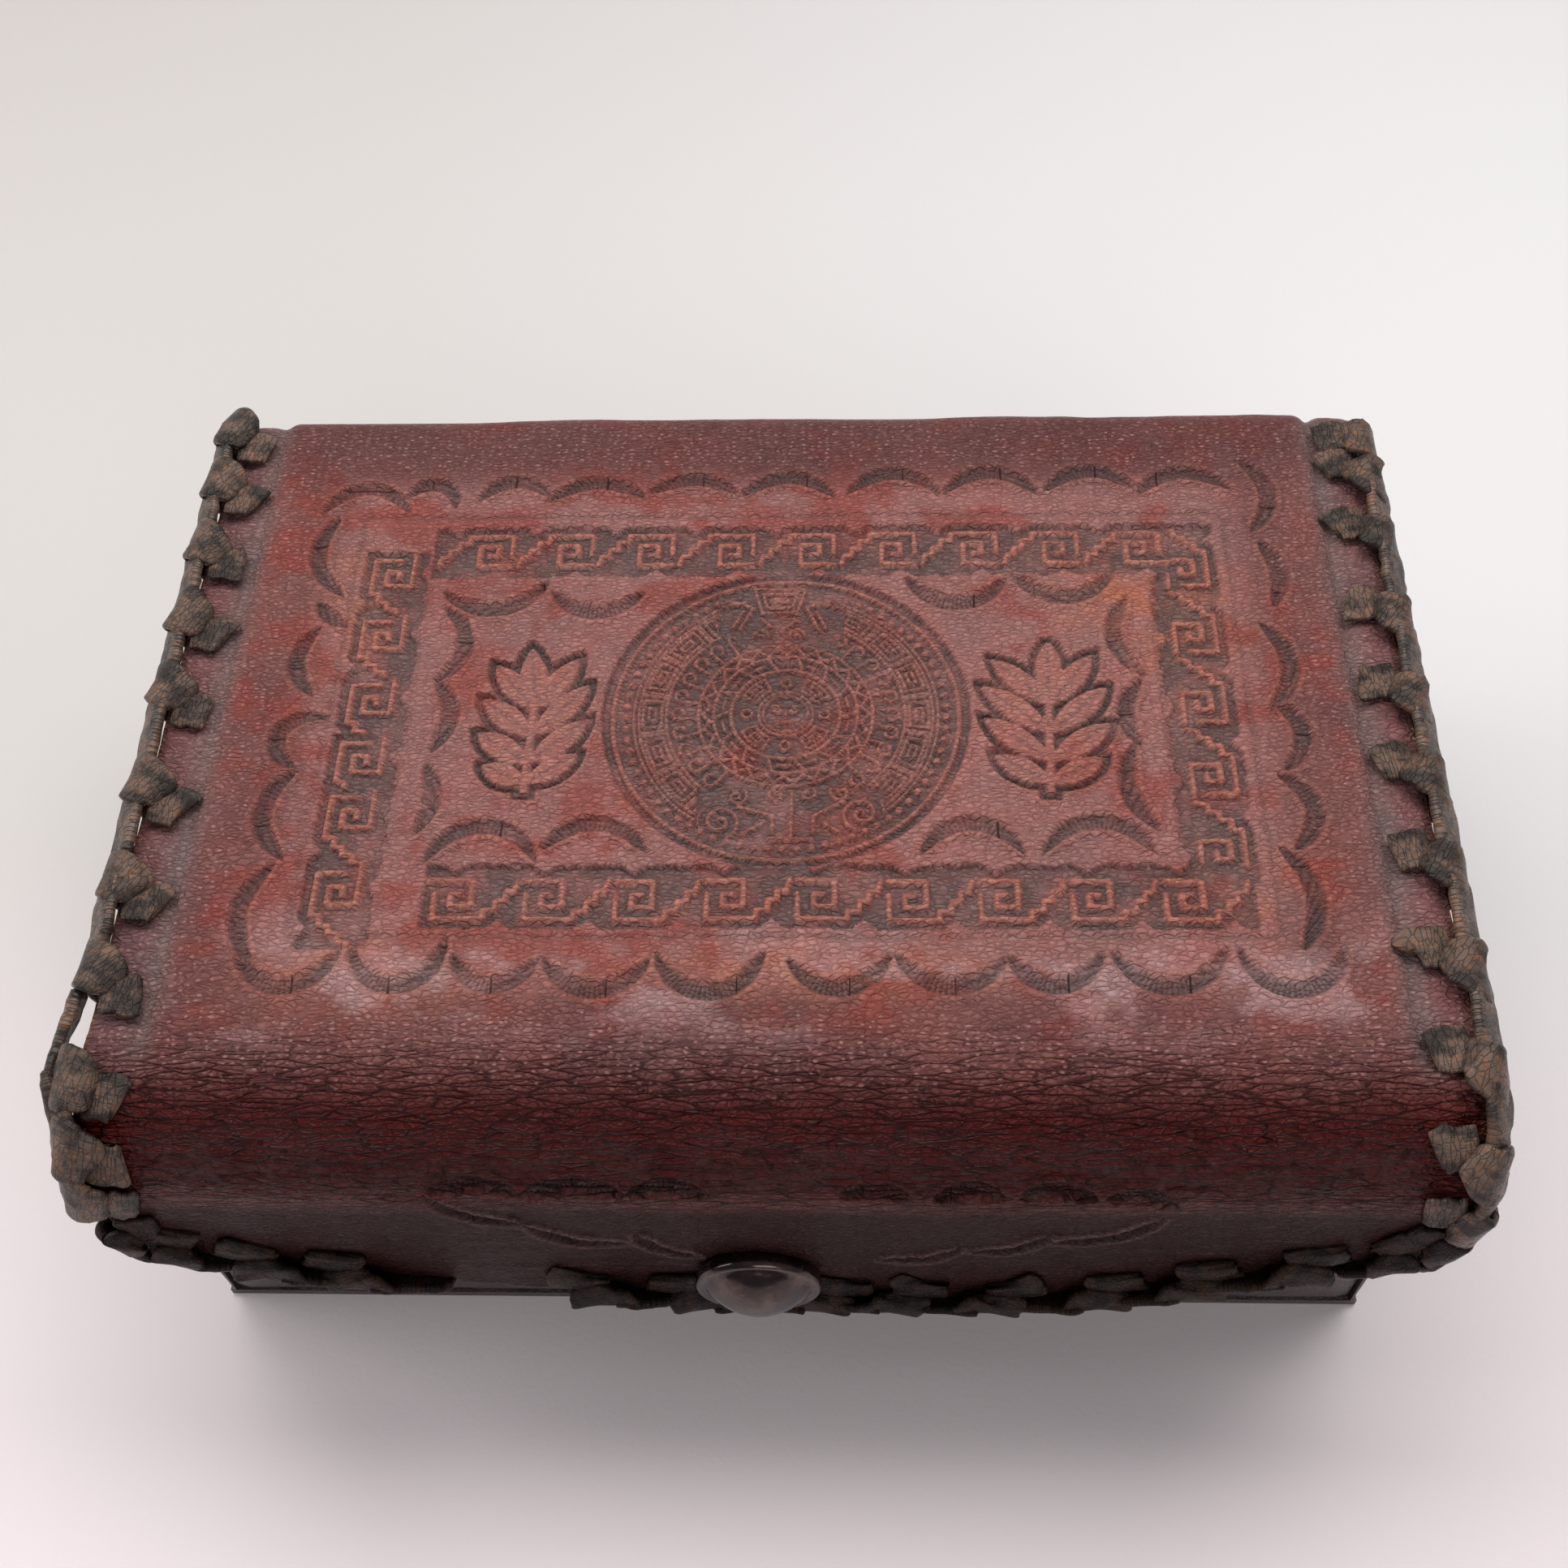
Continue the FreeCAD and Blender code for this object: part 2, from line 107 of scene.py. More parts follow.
def mix(a, b, t):
    """Colours a to b by t, a value per point."""
    t = np.clip(t, 0, 1)[..., None]
    return a * (1 - t) + np.asarray(b, float) * t


def edge_drop(near, radius):
    """How far a rounded edge has fallen, from 1 at the edge to 0 at radius inside it."""
    return 1 - np.sqrt(1 - (1 - np.clip(near / radius, 0, 1)) ** 2)


def along_line(x, y, start, end):
    """Distances of points along and beside the line from start to end, and the line's length."""
    length = math.hypot(end[0] - start[0], end[1] - start[1])
    ax, ay = (end[0] - start[0]) / length, (end[1] - start[1]) / length
    return (x - start[0]) * ax + (y - start[1]) * ay, -(x - start[0]) * ay + (y - start[1]) * ax, length


def from_segment(x, y, start, end):
    """Distance of points from the segment from start to end."""
    s, t, length = along_line(x, y, start, end)
    return np.hypot(s - np.clip(s, 0, length), t)


def curve_through(points, steps):
    """A smooth line through points, steps pieces between each two."""
    p = np.asarray(points, float)
    p = np.vstack([2 * p[0] - p[1], p, 2 * p[-1] - p[-2]])
    out = []
    for i in range(1, len(p) - 2):
        for t in np.linspace(0, 1, steps, endpoint=False):
            out.append(0.5 * (
                2 * p[i] + (p[i + 1] - p[i - 1]) * t
                + (2 * p[i - 1] - 5 * p[i] + 4 * p[i + 1] - p[i + 2]) * t ** 2
                + (3 * p[i] - p[i - 1] - 3 * p[i + 1] + p[i + 2]) * t ** 3
            ))
    out.append(p[-2])
    return np.array(out)


def place(u, v, h):
    """Points of the case for unrolled coordinates of the hide."""
    front = np.clip((BOLSTER_V - v) / BOLSTER_R, 0, math.pi / 2)
    drop = np.maximum(DROP_V - v, 0)
    back = np.clip((v - CORNER_V) / CORNER_R, 0, math.pi / 2)
    fall = np.maximum(v - CORNER_V - CORNER_R * math.pi / 2, 0)
    flat = np.clip(v, BOLSTER_V, CORNER_V)
    y = flat + V_TO_Y - (BOLSTER_R + h) * np.sin(front) + (CORNER_R + h) * np.sin(back)
    z = LID_TOP + h - (BOLSTER_R + h) * (1 - np.cos(front))
    z = z - (CORNER_R + h) * (1 - np.cos(back)) - drop - fall
    return np.stack([u + 0 * y, y, z], -1)


# ---- meshes ----------------------------------------------------------------------------------

def make_mesh(name, points, polygons, material, point_data=None, sharp=None):
    """An object from points in millimetres and a list of index arrays or a 2-D index array."""
    mesh = bpy.data.meshes.new(name)
    points = np.asarray(points, np.float32) * MM
    if isinstance(polygons, np.ndarray):
        loops = polygons.ravel()
        starts = np.arange(len(polygons)) * polygons.shape[1]
    else:
        loops = np.concatenate([np.asarray(p).ravel() for p in polygons])
        sizes = []
        for p in polygons:
            p = np.asarray(p)
            sizes.extend([p.shape[-1]] * (len(p) if p.ndim == 2 else 1))
        starts = np.concatenate([[0], np.cumsum(sizes)[:-1]])
    mesh.vertices.add(len(points))
    mesh.vertices.foreach_set("co", points.ravel())
    mesh.loops.add(len(loops))
    mesh.loops.foreach_set("vertex_index", loops.astype(np.int32))
    mesh.polygons.add(len(starts))
    mesh.polygons.foreach_set("loop_start", starts.astype(np.int32))
    mesh.polygons.foreach_set("use_smooth", np.ones(len(starts), bool))
    mesh.update(calc_edges=True)
    for key, values in (point_data or {}).items():
        values = np.asarray(values, np.float32)
        if values.ndim == 1:
            mesh.attributes.new(key, "FLOAT", "POINT").data.foreach_set("value", values)
        elif key == "tint":
            colours = np.concatenate([values, np.ones((len(values), 1), np.float32)], 1)
            layer = mesh.attributes.new(key, "FLOAT_COLOR", "POINT")
            layer.data.foreach_set("color", colours.ravel())
        else:
            layer = mesh.attributes.new(key, "FLOAT_VECTOR", "POINT")
            layer.data.foreach_set("vector", values.ravel())
    if sharp is not None:
        edges = np.zeros(len(mesh.edges) * 2, np.int32)
        mesh.edges.foreach_get("vertices", edges)
        edges = edges.reshape(-1, 2)
        marks = sharp[edges[:, 0]] & sharp[edges[:, 1]]
        mesh.attributes.new("sharp_edge", "BOOLEAN", "EDGE").data.foreach_set("value", marks)
    mesh.materials.append(material)
    piece = bpy.data.objects.new(name, mesh)
    bpy.context.scene.collection.objects.link(piece)
    return piece


def slab(name, u, v, relief, inner, material, to_case=place, stride=1, data=None):
    """A closed sheet: a fine face at height relief and a face at height inner, every stride-th point."""
    rows, cols = u.shape
    outer = to_case(u, v, relief)
    cu, cv = u[::stride, ::stride], v[::stride, ::stride]
    ch = (inner + 0 * u)[::stride, ::stride]
    under = to_case(cu, cv, ch)
    index = np.arange(rows * cols).reshape(rows, cols)
    low = np.arange(under.shape[0] * under.shape[1]).reshape(under.shape[:2]) + rows * cols

    def quads(g):
        return np.stack([g[:-1, :-1], g[:-1, 1:], g[1:, 1:], g[1:, :-1]], -1).reshape(-1, 4)

    def wall(line, edge, forward):
        out = []
        for j in range(len(edge) - 1):
            run = line[j * stride:(j + 1) * stride + 1]
            if forward:
                out.append(np.concatenate([run, [edge[j + 1], edge[j]]]))
            else:
                out.append(np.concatenate([run[::-1], [edge[j], edge[j + 1]]]))
        return np.array(out)

    faces = [
        quads(index), quads(low)[:, ::-1],
        wall(index[0], low[0], False), wall(index[-1], low[-1], True),
        wall(index[:, 0], low[:, 0], True), wall(index[:, -1], low[:, -1], False),
    ]
    middle = (rows // 2, cols // 2)
    a, b, c = outer[middle], outer[middle[0], middle[1] + 1], outer[middle[0] + 1, middle[1]]
    out = a - to_case(u[middle], v[middle], (inner + 0 * u)[middle])
    if np.dot(np.cross(b - a, c - a), out) > 0:
        faces = [f[:, ::-1] for f in faces]

    def border(shape):
        marks = np.ones(shape, bool)
        marks[1:-1, 1:-1] = False
        return marks.ravel()

    fine = {"sheet": np.stack([u, v, relief + 0 * u], -1)}
    fine.update(data or {})
    joined = {}
    for key, values in fine.items():
        last = values.shape[-1] if values.ndim == 3 else 1
        flat = values.reshape(-1, last)
        coarse = values[::stride, ::stride].reshape(-1, last)
        both = np.concatenate([flat, coarse])
        joined[key] = both if last > 1 else both[:, 0]
    points = np.concatenate([outer.reshape(-1, 3), under.reshape(-1, 3)])
    sharp = np.concatenate([border((rows, cols)), border(under.shape[:2])])
    return make_mesh(name, points, faces, material, joined, sharp)


def stands_for(piece, body, slot, *nodes):
    """Hides the CAD nodes a piece replaces and hangs it on the body it rides on; slot, its finish, is not
    used.
    """
    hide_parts(*nodes)
    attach(piece, body)


class Bundle:
    """Closed strips gathered into one mesh."""

    def __init__(self):
        self.points, self.faces, self.along, self.count, self.strips = [], [], [], 0, 0

    def strip(self, to_case, path, widths, thicks, sides=14, steps=6, over=None, seed=0,
              square=0.45, crown=0.25):
        """A flat lace through path in edge coordinates (along, out, up), crowned on its outside."""
        line = curve_through(path, steps)
        n = len(line)
        share = np.linspace(0, 1, n)
        knots = np.linspace(0, 1, len(widths))
        wide = np.interp(share, knots, widths)
        thick = np.interp(share, knots, thicks)
        end = 0.3 + 0.7 * np.clip(1 - np.abs(2 * share - 1) ** 26, 0, 1) ** 0.5
        tangent = np.gradient(line, axis=0)
        tangent /= np.linalg.norm(tangent, axis=1)[:, None]
        if over is None:
            lift = np.zeros_like(line)
            lift[:, 1] = line[:, 1] - np.clip(line[:, 1], -30, -0.3)
            lift[:, 2] = line[:, 2] + 1.6
        else:
            lift = np.tile(np.asarray(over, float), (n, 1))
        lift -= (lift * tangent).sum(1)[:, None] * tangent
        lift /= np.linalg.norm(lift, axis=1)[:, None]
        across = np.cross(tangent, lift)
        turn = np.linspace(0, 2 * math.pi, sides, endpoint=False)
        cos, sin = np.cos(turn), np.sin(turn)
        x = np.sign(cos) * np.abs(cos) ** square * 0.5
        y = np.sign(sin) * np.abs(sin) ** 0.7 * 0.5 + crown * (1 - (2 * x) ** 2)
        rng = np.random.default_rng(seed)
        phase = rng.uniform(0, 90, 2)
        wide = wide * (1 + 0.10 * noise(share * 5 + phase[0], 0 * share, 3))
        ring = (
            line[:, None]
            + across[:, None] * (x[None, :, None] * (wide * end)[:, None, None])
            + lift[:, None] * (y[None, :, None] * (thick * end)[:, None, None])
        )
        length = np.concatenate([[0], np.cumsum(np.linalg.norm(np.diff(line, axis=0), axis=1))])
        s = np.repeat(length[:, None], sides, 1)
        t = np.repeat(x[None], n, 0) * wide[:, None]
        ring += lift[:, None] * (0.16 * noise(s * 0.8 + phase[0], t * 1.1 + phase[1], 5))[..., None]
        case = to_case(ring[..., 0], ring[..., 1], ring[..., 2]).reshape(-1, 3)
        grid = np.arange(n * sides).reshape(n, sides) + self.count
        turned = np.roll(grid, -1, 1)
        quads = np.stack([grid[:-1], turned[:-1], turned[1:], grid[1:]], -1).reshape(-1, 4)
        caps = [grid[0][::-1], grid[-1]]
        local = case - case.mean(0)
        q = quads - self.count
        normal = np.cross(local[q[:, 2]] - local[q[:, 0]], local[q[:, 3]] - local[q[:, 1]])
        if (local[q].mean(1) * normal).sum() < 0:
            quads = quads[:, ::-1]
            caps = [c[::-1] for c in caps]
        self.points.append(case)
        self.faces.append(quads)
        self.faces.extend(caps)
        layer = np.full_like(s, self.strips * 7.3 + phase[0])
        self.along.append(np.stack([s, t, layer], -1).reshape(-1, 3))
        self.count += n * sides
        self.strips += 1

    def build(self, name, material):
        points = np.concatenate(self.points)
        return make_mesh(name, points, self.faces, material, {"sheet": np.concatenate(self.along)})


# ---- tooling ---------------------------------------------------------------------------------

class Tooling:
    """Height, dye and polish of the hide at its points, and a painted highlight on the rims of the stamps.
    """

    def __init__(self, u, v):
        self.u, self.v = u, v
        self.h, self.dye, self.line, self.lip, self.hatch, self.teeth = (np.zeros_like(u) for _ in range(6))
        self.fray = 0.5 * noise(u * 1.6, v * 1.6, 11) + 0.5 * noise(u * 4.1, v * 4.1, 12)

    def near(self, x, y, reach):
        return np.nonzero((np.abs(self.u - x) < reach) & (np.abs(self.v - y) < reach))

    def crescent(self, a, b, apex):
        """One stamp: a band between two arcs through its ends, hatched across."""
        a, b, apex = (np.array(p, float) for p in (a, b, apex))
        middle = (a + b) / 2
        at = self.near(middle[0], middle[1], 13)
        if len(at[0]) == 0:
            return
        fray = self.fray[at]
        p = np.stack([self.u[at], self.v[at]], -1)

        def circle(top):
            side = b - a
            m = np.array([side, top - a])
            centre = a + np.linalg.solve(m, 0.5 * (m * m).sum(1))
            return centre, np.linalg.norm(a - centre)

        c_out, r_out = circle(apex)
        to_out = p - c_out
        d_out = r_out - np.linalg.norm(to_out, axis=1) + 0.10 * fray
        axis = (apex - c_out) / r_out
        swing = np.arctan2(axis[0] * to_out[:, 1] - axis[1] * to_out[:, 0], to_out @ axis)
        half = max(math.acos(np.clip(axis @ (end - c_out) / r_out, -1, 1)) for end in (a, b)) * 1.02
        share = np.clip(np.abs(swing) / half, 0, 1)
        d_in = 2.35 * (1 - share ** 3) ** 0.7 - d_out + 0.35 * fray
        d = np.minimum(np.minimum(d_out, d_in), (half - np.abs(swing)) * r_out)
        inside = ramp(d, -0.1, 0.35)
        along = swing * r_out
        teeth = 0.5 + 0.5 * np.cos(along * 2 * math.pi / TOOTH_PITCH)
        depth = inside * (0.52 - 0.16 * teeth - 0.22 * ramp(d_out, 0.4, 2.3))
        outer_side = d_out < d_in
        beside = share < 0.995
        lip_out, lip_in = 0.18 * bump(d + 0.6, 0.45), 0.30 * bump(d + 0.5, 0.40) * (1 + 0.8 * fray)
        lip = np.where(outer_side, lip_out, lip_in) * beside
        self.h[at] = np.where(d > 0, -depth, self.h[at] * (1 - inside) - depth + lip)
        dye = inside * (0.66 + 0.20 * teeth - 0.22 * ramp(d_out, 0.5, 2.3))
        self.dye[at] = np.maximum(self.dye[at] * (1 - inside), dye)
        # Painted highlight on the raised rim round the stamp, stronger on its inner side.
        painted_rim_highlight = np.where(outer_side, 0.5, 1.0) * bump(d + 0.5, 0.4) * beside
        self.lip[at] = np.maximum(self.lip[at] * (1 - inside), painted_rim_highlight)
        self.teeth[at] = np.maximum(self.teeth[at] * (1 - inside), inside)
        self.line[at] *= 1 - inside
        self.hatch[at] = along

    def frets(self, origins, turn):
        """A row of stepped-fret stamps. turn is 0 along +u, then anticlockwise in degrees."""
        c, s = math.cos(math.radians(turn)), math.sin(math.radians(turn))
        for origin in origins:
            centre = np.array(origin) + np.array([c * 6 - s * 2.3, s * 6 + c * 2.3])
            at = self.near(centre[0], centre[1], 9.5)
            du, dv = self.u[at] - origin[0], self.v[at] - origin[1]
            x, y = c * du + s * dv, -s * du + c * dv
            x = x + 0.10 * self.fray[at]
            y = y + 0.10 * self.fray[at]
            rough = 0.45 * self.fray[at]
            ends = np.minimum(x + 0.9, 12.3 - x)
            field = ramp(np.minimum(ends, np.minimum(y + 2.5, 7.3 - y) + rough), 0, 0.4)
            point_out = 7.6 - y < 1.9 * (1 - np.abs(x - 2.2) / 2.1)
            point_in = y + 2.8 < 1.7 * (1 - np.abs(x - 8.5) / 2.3)
            field = field * (1 - (point_out | point_in))
            d = np.full(x.shape, 99.0)
            for arm in FRET_ARMS:
                for start, end in zip(arm[:-1], arm[1:]):
                    d = np.minimum(d, from_segment(x, y, start, end))
            raised = ramp(0.56 - d, 0, 0.3) * field
            ground = field * (1 - raised)
            self.h[at] = self.h[at] * (1 - field) - 0.62 * ground - 0.05 * raised
            self.dye[at] = self.dye[at] * (1 - field) + 0.85 * ground
            self.line[at] = self.line[at] * (1 - field) + raised
            self.teeth[at] *= 1 - field

    def groove(self, a, b, width, depth, dye):
        """A straight knife line."""
        s, t, length = along_line(self.u, self.v, a, b)
        on = ramp(s, -1, 1) * ramp(length - s, -1, 1)
        cut = on * bump(t + 0.12 * self.fray, width)
        self.h -= depth * cut
        self.dye = np.maximum(self.dye, dye * cut)

    def medallion(self):
        """Round stamp: rings of beads, boxes, curls and cells round a small plain face."""
        at = self.near(MEDALLION[0], MEDALLION[1], 28)
        if len(at[0]) == 0:
            return
        x, y = self.u[at] - MEDALLION[0], self.v[at] - MEDALLION[1]
        r, turn = np.hypot(x, y), np.arctan2(x, y)
        side = np.abs(turn)

        def stroke(d, width):
            return ramp(width / 2 + 0.20 - np.abs(d), 0, 0.26)

        def cell(count, radius, shift=0.0):
            """Arc length from the middle of the cell that each point is in."""
            step = 2 * math.pi / count
            return ((turn / step + shift) % 1 - 0.5) * step * radius

        def frame_line(px, py, half_x, half_y, width):
            return stroke(np.maximum(np.abs(px) - half_x, np.abs(py) - half_y), width)

        def segments(*lines):
            """Strokes for lines given as (x0, y0, x1, y1, width)."""
            return [stroke(from_segment(x, y, line[:2], line[2:4]), line[4]) for line in lines]

        def scroll(cx, cy, size, hand, gap, tail):
            """A spiral with its tail running off at an angle."""
            dx, dy = (x - cx) * hand, y - cy
            rho, phi = np.hypot(dx, dy), (np.arctan2(dy, dx) - tail) % (2 * math.pi)
            arm = ((rho / gap + phi / (2 * math.pi)) % 1 - 0.5) * gap
            return stroke(arm, 0.45) * (rho < size)

        lines = np.maximum.reduce([stroke(r - radius, width) for radius, width in MEDALLION_RINGS])
        beads = ramp(0.72 - np.hypot(cell(73, 22), r - 22), 0, 0.3)
        boxed = (side > 0.42) & (side < 2.62)
        px = cell(18, 18.35)
        boxes = np.maximum.reduce([
            frame_line(px, r - 18.35, 2.15, 1.25, 0.38), frame_line(px, r - 18.35, 1.0, 0.45, 0.35),
            stroke(np.abs(px) - 2.95, 0.32) * (np.abs(r - 18.3) < 1.8),
        ]) * boxed
        qx, qy = cell(30, 14.2), r - 14.4
        hook = stroke(np.hypot(qx, qy - 0.35) - 0.85, 0.4) * ((qy > 0.2) | (qx > 0))
        stem = stroke(qx + 0.85, 0.4) * (qy < 0.45) * (qy > -2.1)
        curls = np.maximum(hook, stem) * (np.abs(r - 14.2) < 2.2) * ((side > 0.5) & (side < 2.55))
        points = stroke((r - 11.5 + 0.85 * np.abs(cell(26, 11))) / 1.3, 0.4) * (np.abs(r - 10.95) < 1.0)
        across, up = cell(14, 8.7), r - 8.7
        cells = np.maximum(stroke(across + 0.5 * up, 0.4), stroke(up, 0.3) * (np.abs(across) > 0.9))
        cells = cells * (np.abs(up) < 1.2)
        signs = np.maximum.reduce([
            frame_line(cell(4, 5.6, 0.0), r - 5.6, 1.75, 1.05, 0.35),
            frame_line(cell(4, 5.6, 0.0), r - 5.6, 0.8, 0.4, 0.3),
            stroke(np.hypot(cell(4, 5.6, 0.5), r - 5.3) - 0.7, 0.35),
        ]) * (np.abs(r - 5.6) < 1.7)
        face = np.maximum.reduce([
            stroke(np.hypot((np.abs(x) - 1.15) * 0.6, y - 0.55) - 0.28, 0.2),
            *segments((0, 0.6, 0, -0.45, 0.3), (-0.65, -1.35, 0.65, -1.35, 0.3),
                      (-1.9, 1.35, -0.5, 1.45, 0.25), (0.5, 1.45, 1.9, 1.35, 0.25)),
        ]) * (r < 2.8)
        lines = np.maximum.reduce([lines, beads, boxes, curls, points, cells, signs, face])
        top = (np.abs(x + 1.0) < 8.9) & (y > 13.4) & (y < 23.0)
        plaque = np.zeros_like(x)
        for inset in (0.0, 0.95, 1.9):
            half = 2.5 + 0.26 * (y - 18) - inset
            box = np.minimum(half - np.abs(x - PLAQUE_X), np.minimum(y - 17.9 - inset, 22.4 - inset - y))
            plaque = np.maximum(plaque, stroke(box, 0.4))
        for hand in (-1, 1):
            rays = [(3.8, 18.9, 7.6, 20.2, 0.45), (3.8, 18.9, 5.6, 14.8, 0.45), (4.9, 19.9, 8.3, 19.0, 0.4),
                    (5.2, 18.2, 6.6, 15.2, 0.4), (1.0, 15.2, 2.6, 16.8, 0.4)]
            rays = [(PLAQUE_X + hand * x0, y0, PLAQUE_X + hand * x1, y1, w) for x0, y0, x1, y1, w in rays]
            curl = scroll(PLAQUE_X + hand * 2.4, 13.6, 1.5, hand, 0.9, 0.5)
            plaque = np.maximum.reduce([plaque, curl, *segments(*rays)])
        low = (np.abs(x - 1.0) < 12.6) & (y < -12.3) & (y > -22.8) & (r < 21.4)
        foot = np.maximum.reduce([
            *(scroll(*turned) for turned in (
                (-8.4, -17.6, 3.1, 1, 1.5, 0.4), (10.4, -16.4, 3.2, -1, 1.5, 0.4),
                (-6.2, -13.6, 1.6, -1, 1.0, 2.0), (7.6, -13.0, 1.6, 1, 1.0, 2.0),
                (-0.9, -13.4, 1.3, 1, 0.9, 1.0), (3.2, -13.2, 1.3, -1, 0.9, 1.0))),
            *segments((-6.0, -15.3, -1.4, -16.8, 0.5), (8.0, -14.4, 4.0, -16.8, 0.5),
                      (1.1, -12.8, 1.1, -19.8, 0.45), (-1.6, -20.4, 3.8, -20.4, 0.45),
                      (-1.4, -16.8, -1.4, -19.4, 0.4), (4.0, -16.8, 4.0, -19.4, 0.4),
                      (-5.4, -19.6, -2.6, -17.8, 0.4), (5.2, -17.8, 7.6, -19.4, 0.4)),
        ])
        lines = np.where(top, np.maximum(plaque, lines * (r > 23.2)), lines)
        lines = np.where(low, np.maximum(foot, beads), lines)
        worn = 0.82 + 0.18 * noise(self.u[at] * 0.35, self.v[at] * 0.35, 31)
        lines = lines * worn
        field = ramp(MEDALLION_R + 0.12 * self.fray[at] - r, 0, 0.45)
        edge = bump(r - MEDALLION_R - 0.55, 0.45)
        self.h[at] = self.h[at] * (1 - field) - field * (0.66 - 0.56 * lines) + 0.10 * edge * (1 - field)
        self.dye[at] = self.dye[at] * (1 - field) + field * 0.9 * (1 - 0.75 * lines)
        self.line[at] = self.line[at] * (1 - field) + field * lines * 0.85
        # Painted highlight on the raised rim round the medallion.
        self.lip[at] = np.maximum(self.lip[at] * (1 - field), 0.5 * edge * (1 - field))

    def sprig(self, foot, tip, leaves):
        """A leaf sprig: raised pointed leaflets on a stem, with a deep dyed outline."""
        at = self.near((foot[0] + tip[0]) / 2, (foot[1] + tip[1]) / 2, 17)
        if len(at[0]) == 0:
            return
        x, y = self.u[at] + 0.12 * self.fray[at], self.v[at] + 0.12 * self.fray[at]
        best = np.full(x.shape, -99.0)
        vein = np.zeros_like(x)
        for start, end, half in leaves:
            s, t, length = along_line(x, y, start, end)
            radius = (length ** 2 / 4 + half ** 2) / (2 * half)
            d = radius - np.hypot(s - length / 2, np.abs(t) + radius - half)
            vein = np.where(d > best, bump(t, 0.22) * (d > 0.25) * (s > 0.12 * length), vein)
            best = np.maximum(best, d)
        s, t, length = along_line(x, y, foot, tip)
        stem = np.minimum(0.55 - np.abs(t), np.minimum(s, length - s))
        body = np.maximum(best, stem)
        moat = ramp(body, -1.05, -0.75) * (1 - ramp(body, -0.22, 0.05))
        raised = ramp(body, -0.1, 0.3)
        self.h[at] += -0.66 * moat + raised * (0.10 - 0.16 * vein) + 0.16 * bump(body + 1.4, 0.35)
        self.dye[at] = np.maximum(self.dye[at], np.maximum(moat, 0.35 * vein * raised))
        self.line[at] = np.maximum(self.line[at], 0.6 * raised * (1 - vein))
        # Painted highlight on the raised rim round the sprig's outline.
        self.lip[at] = np.maximum(self.lip[at], 0.9 * bump(body + 1.35, 0.3))


FRET_ARMS = [
    [(0, 0), (0.4, 1.6), (1.5, 1.6), (1.5, 3.0), (2.7, 3.0), (2.7, 4.4), (4.2, 4.4), (4.2, 5.7),
     (10.7, 5.7), (10.7, 1.95)],
    [(12, 0), (5.9, 0), (5.9, 3.8), (8.6, 3.8), (8.6, 2.0), (7.4, 2.0)],
]

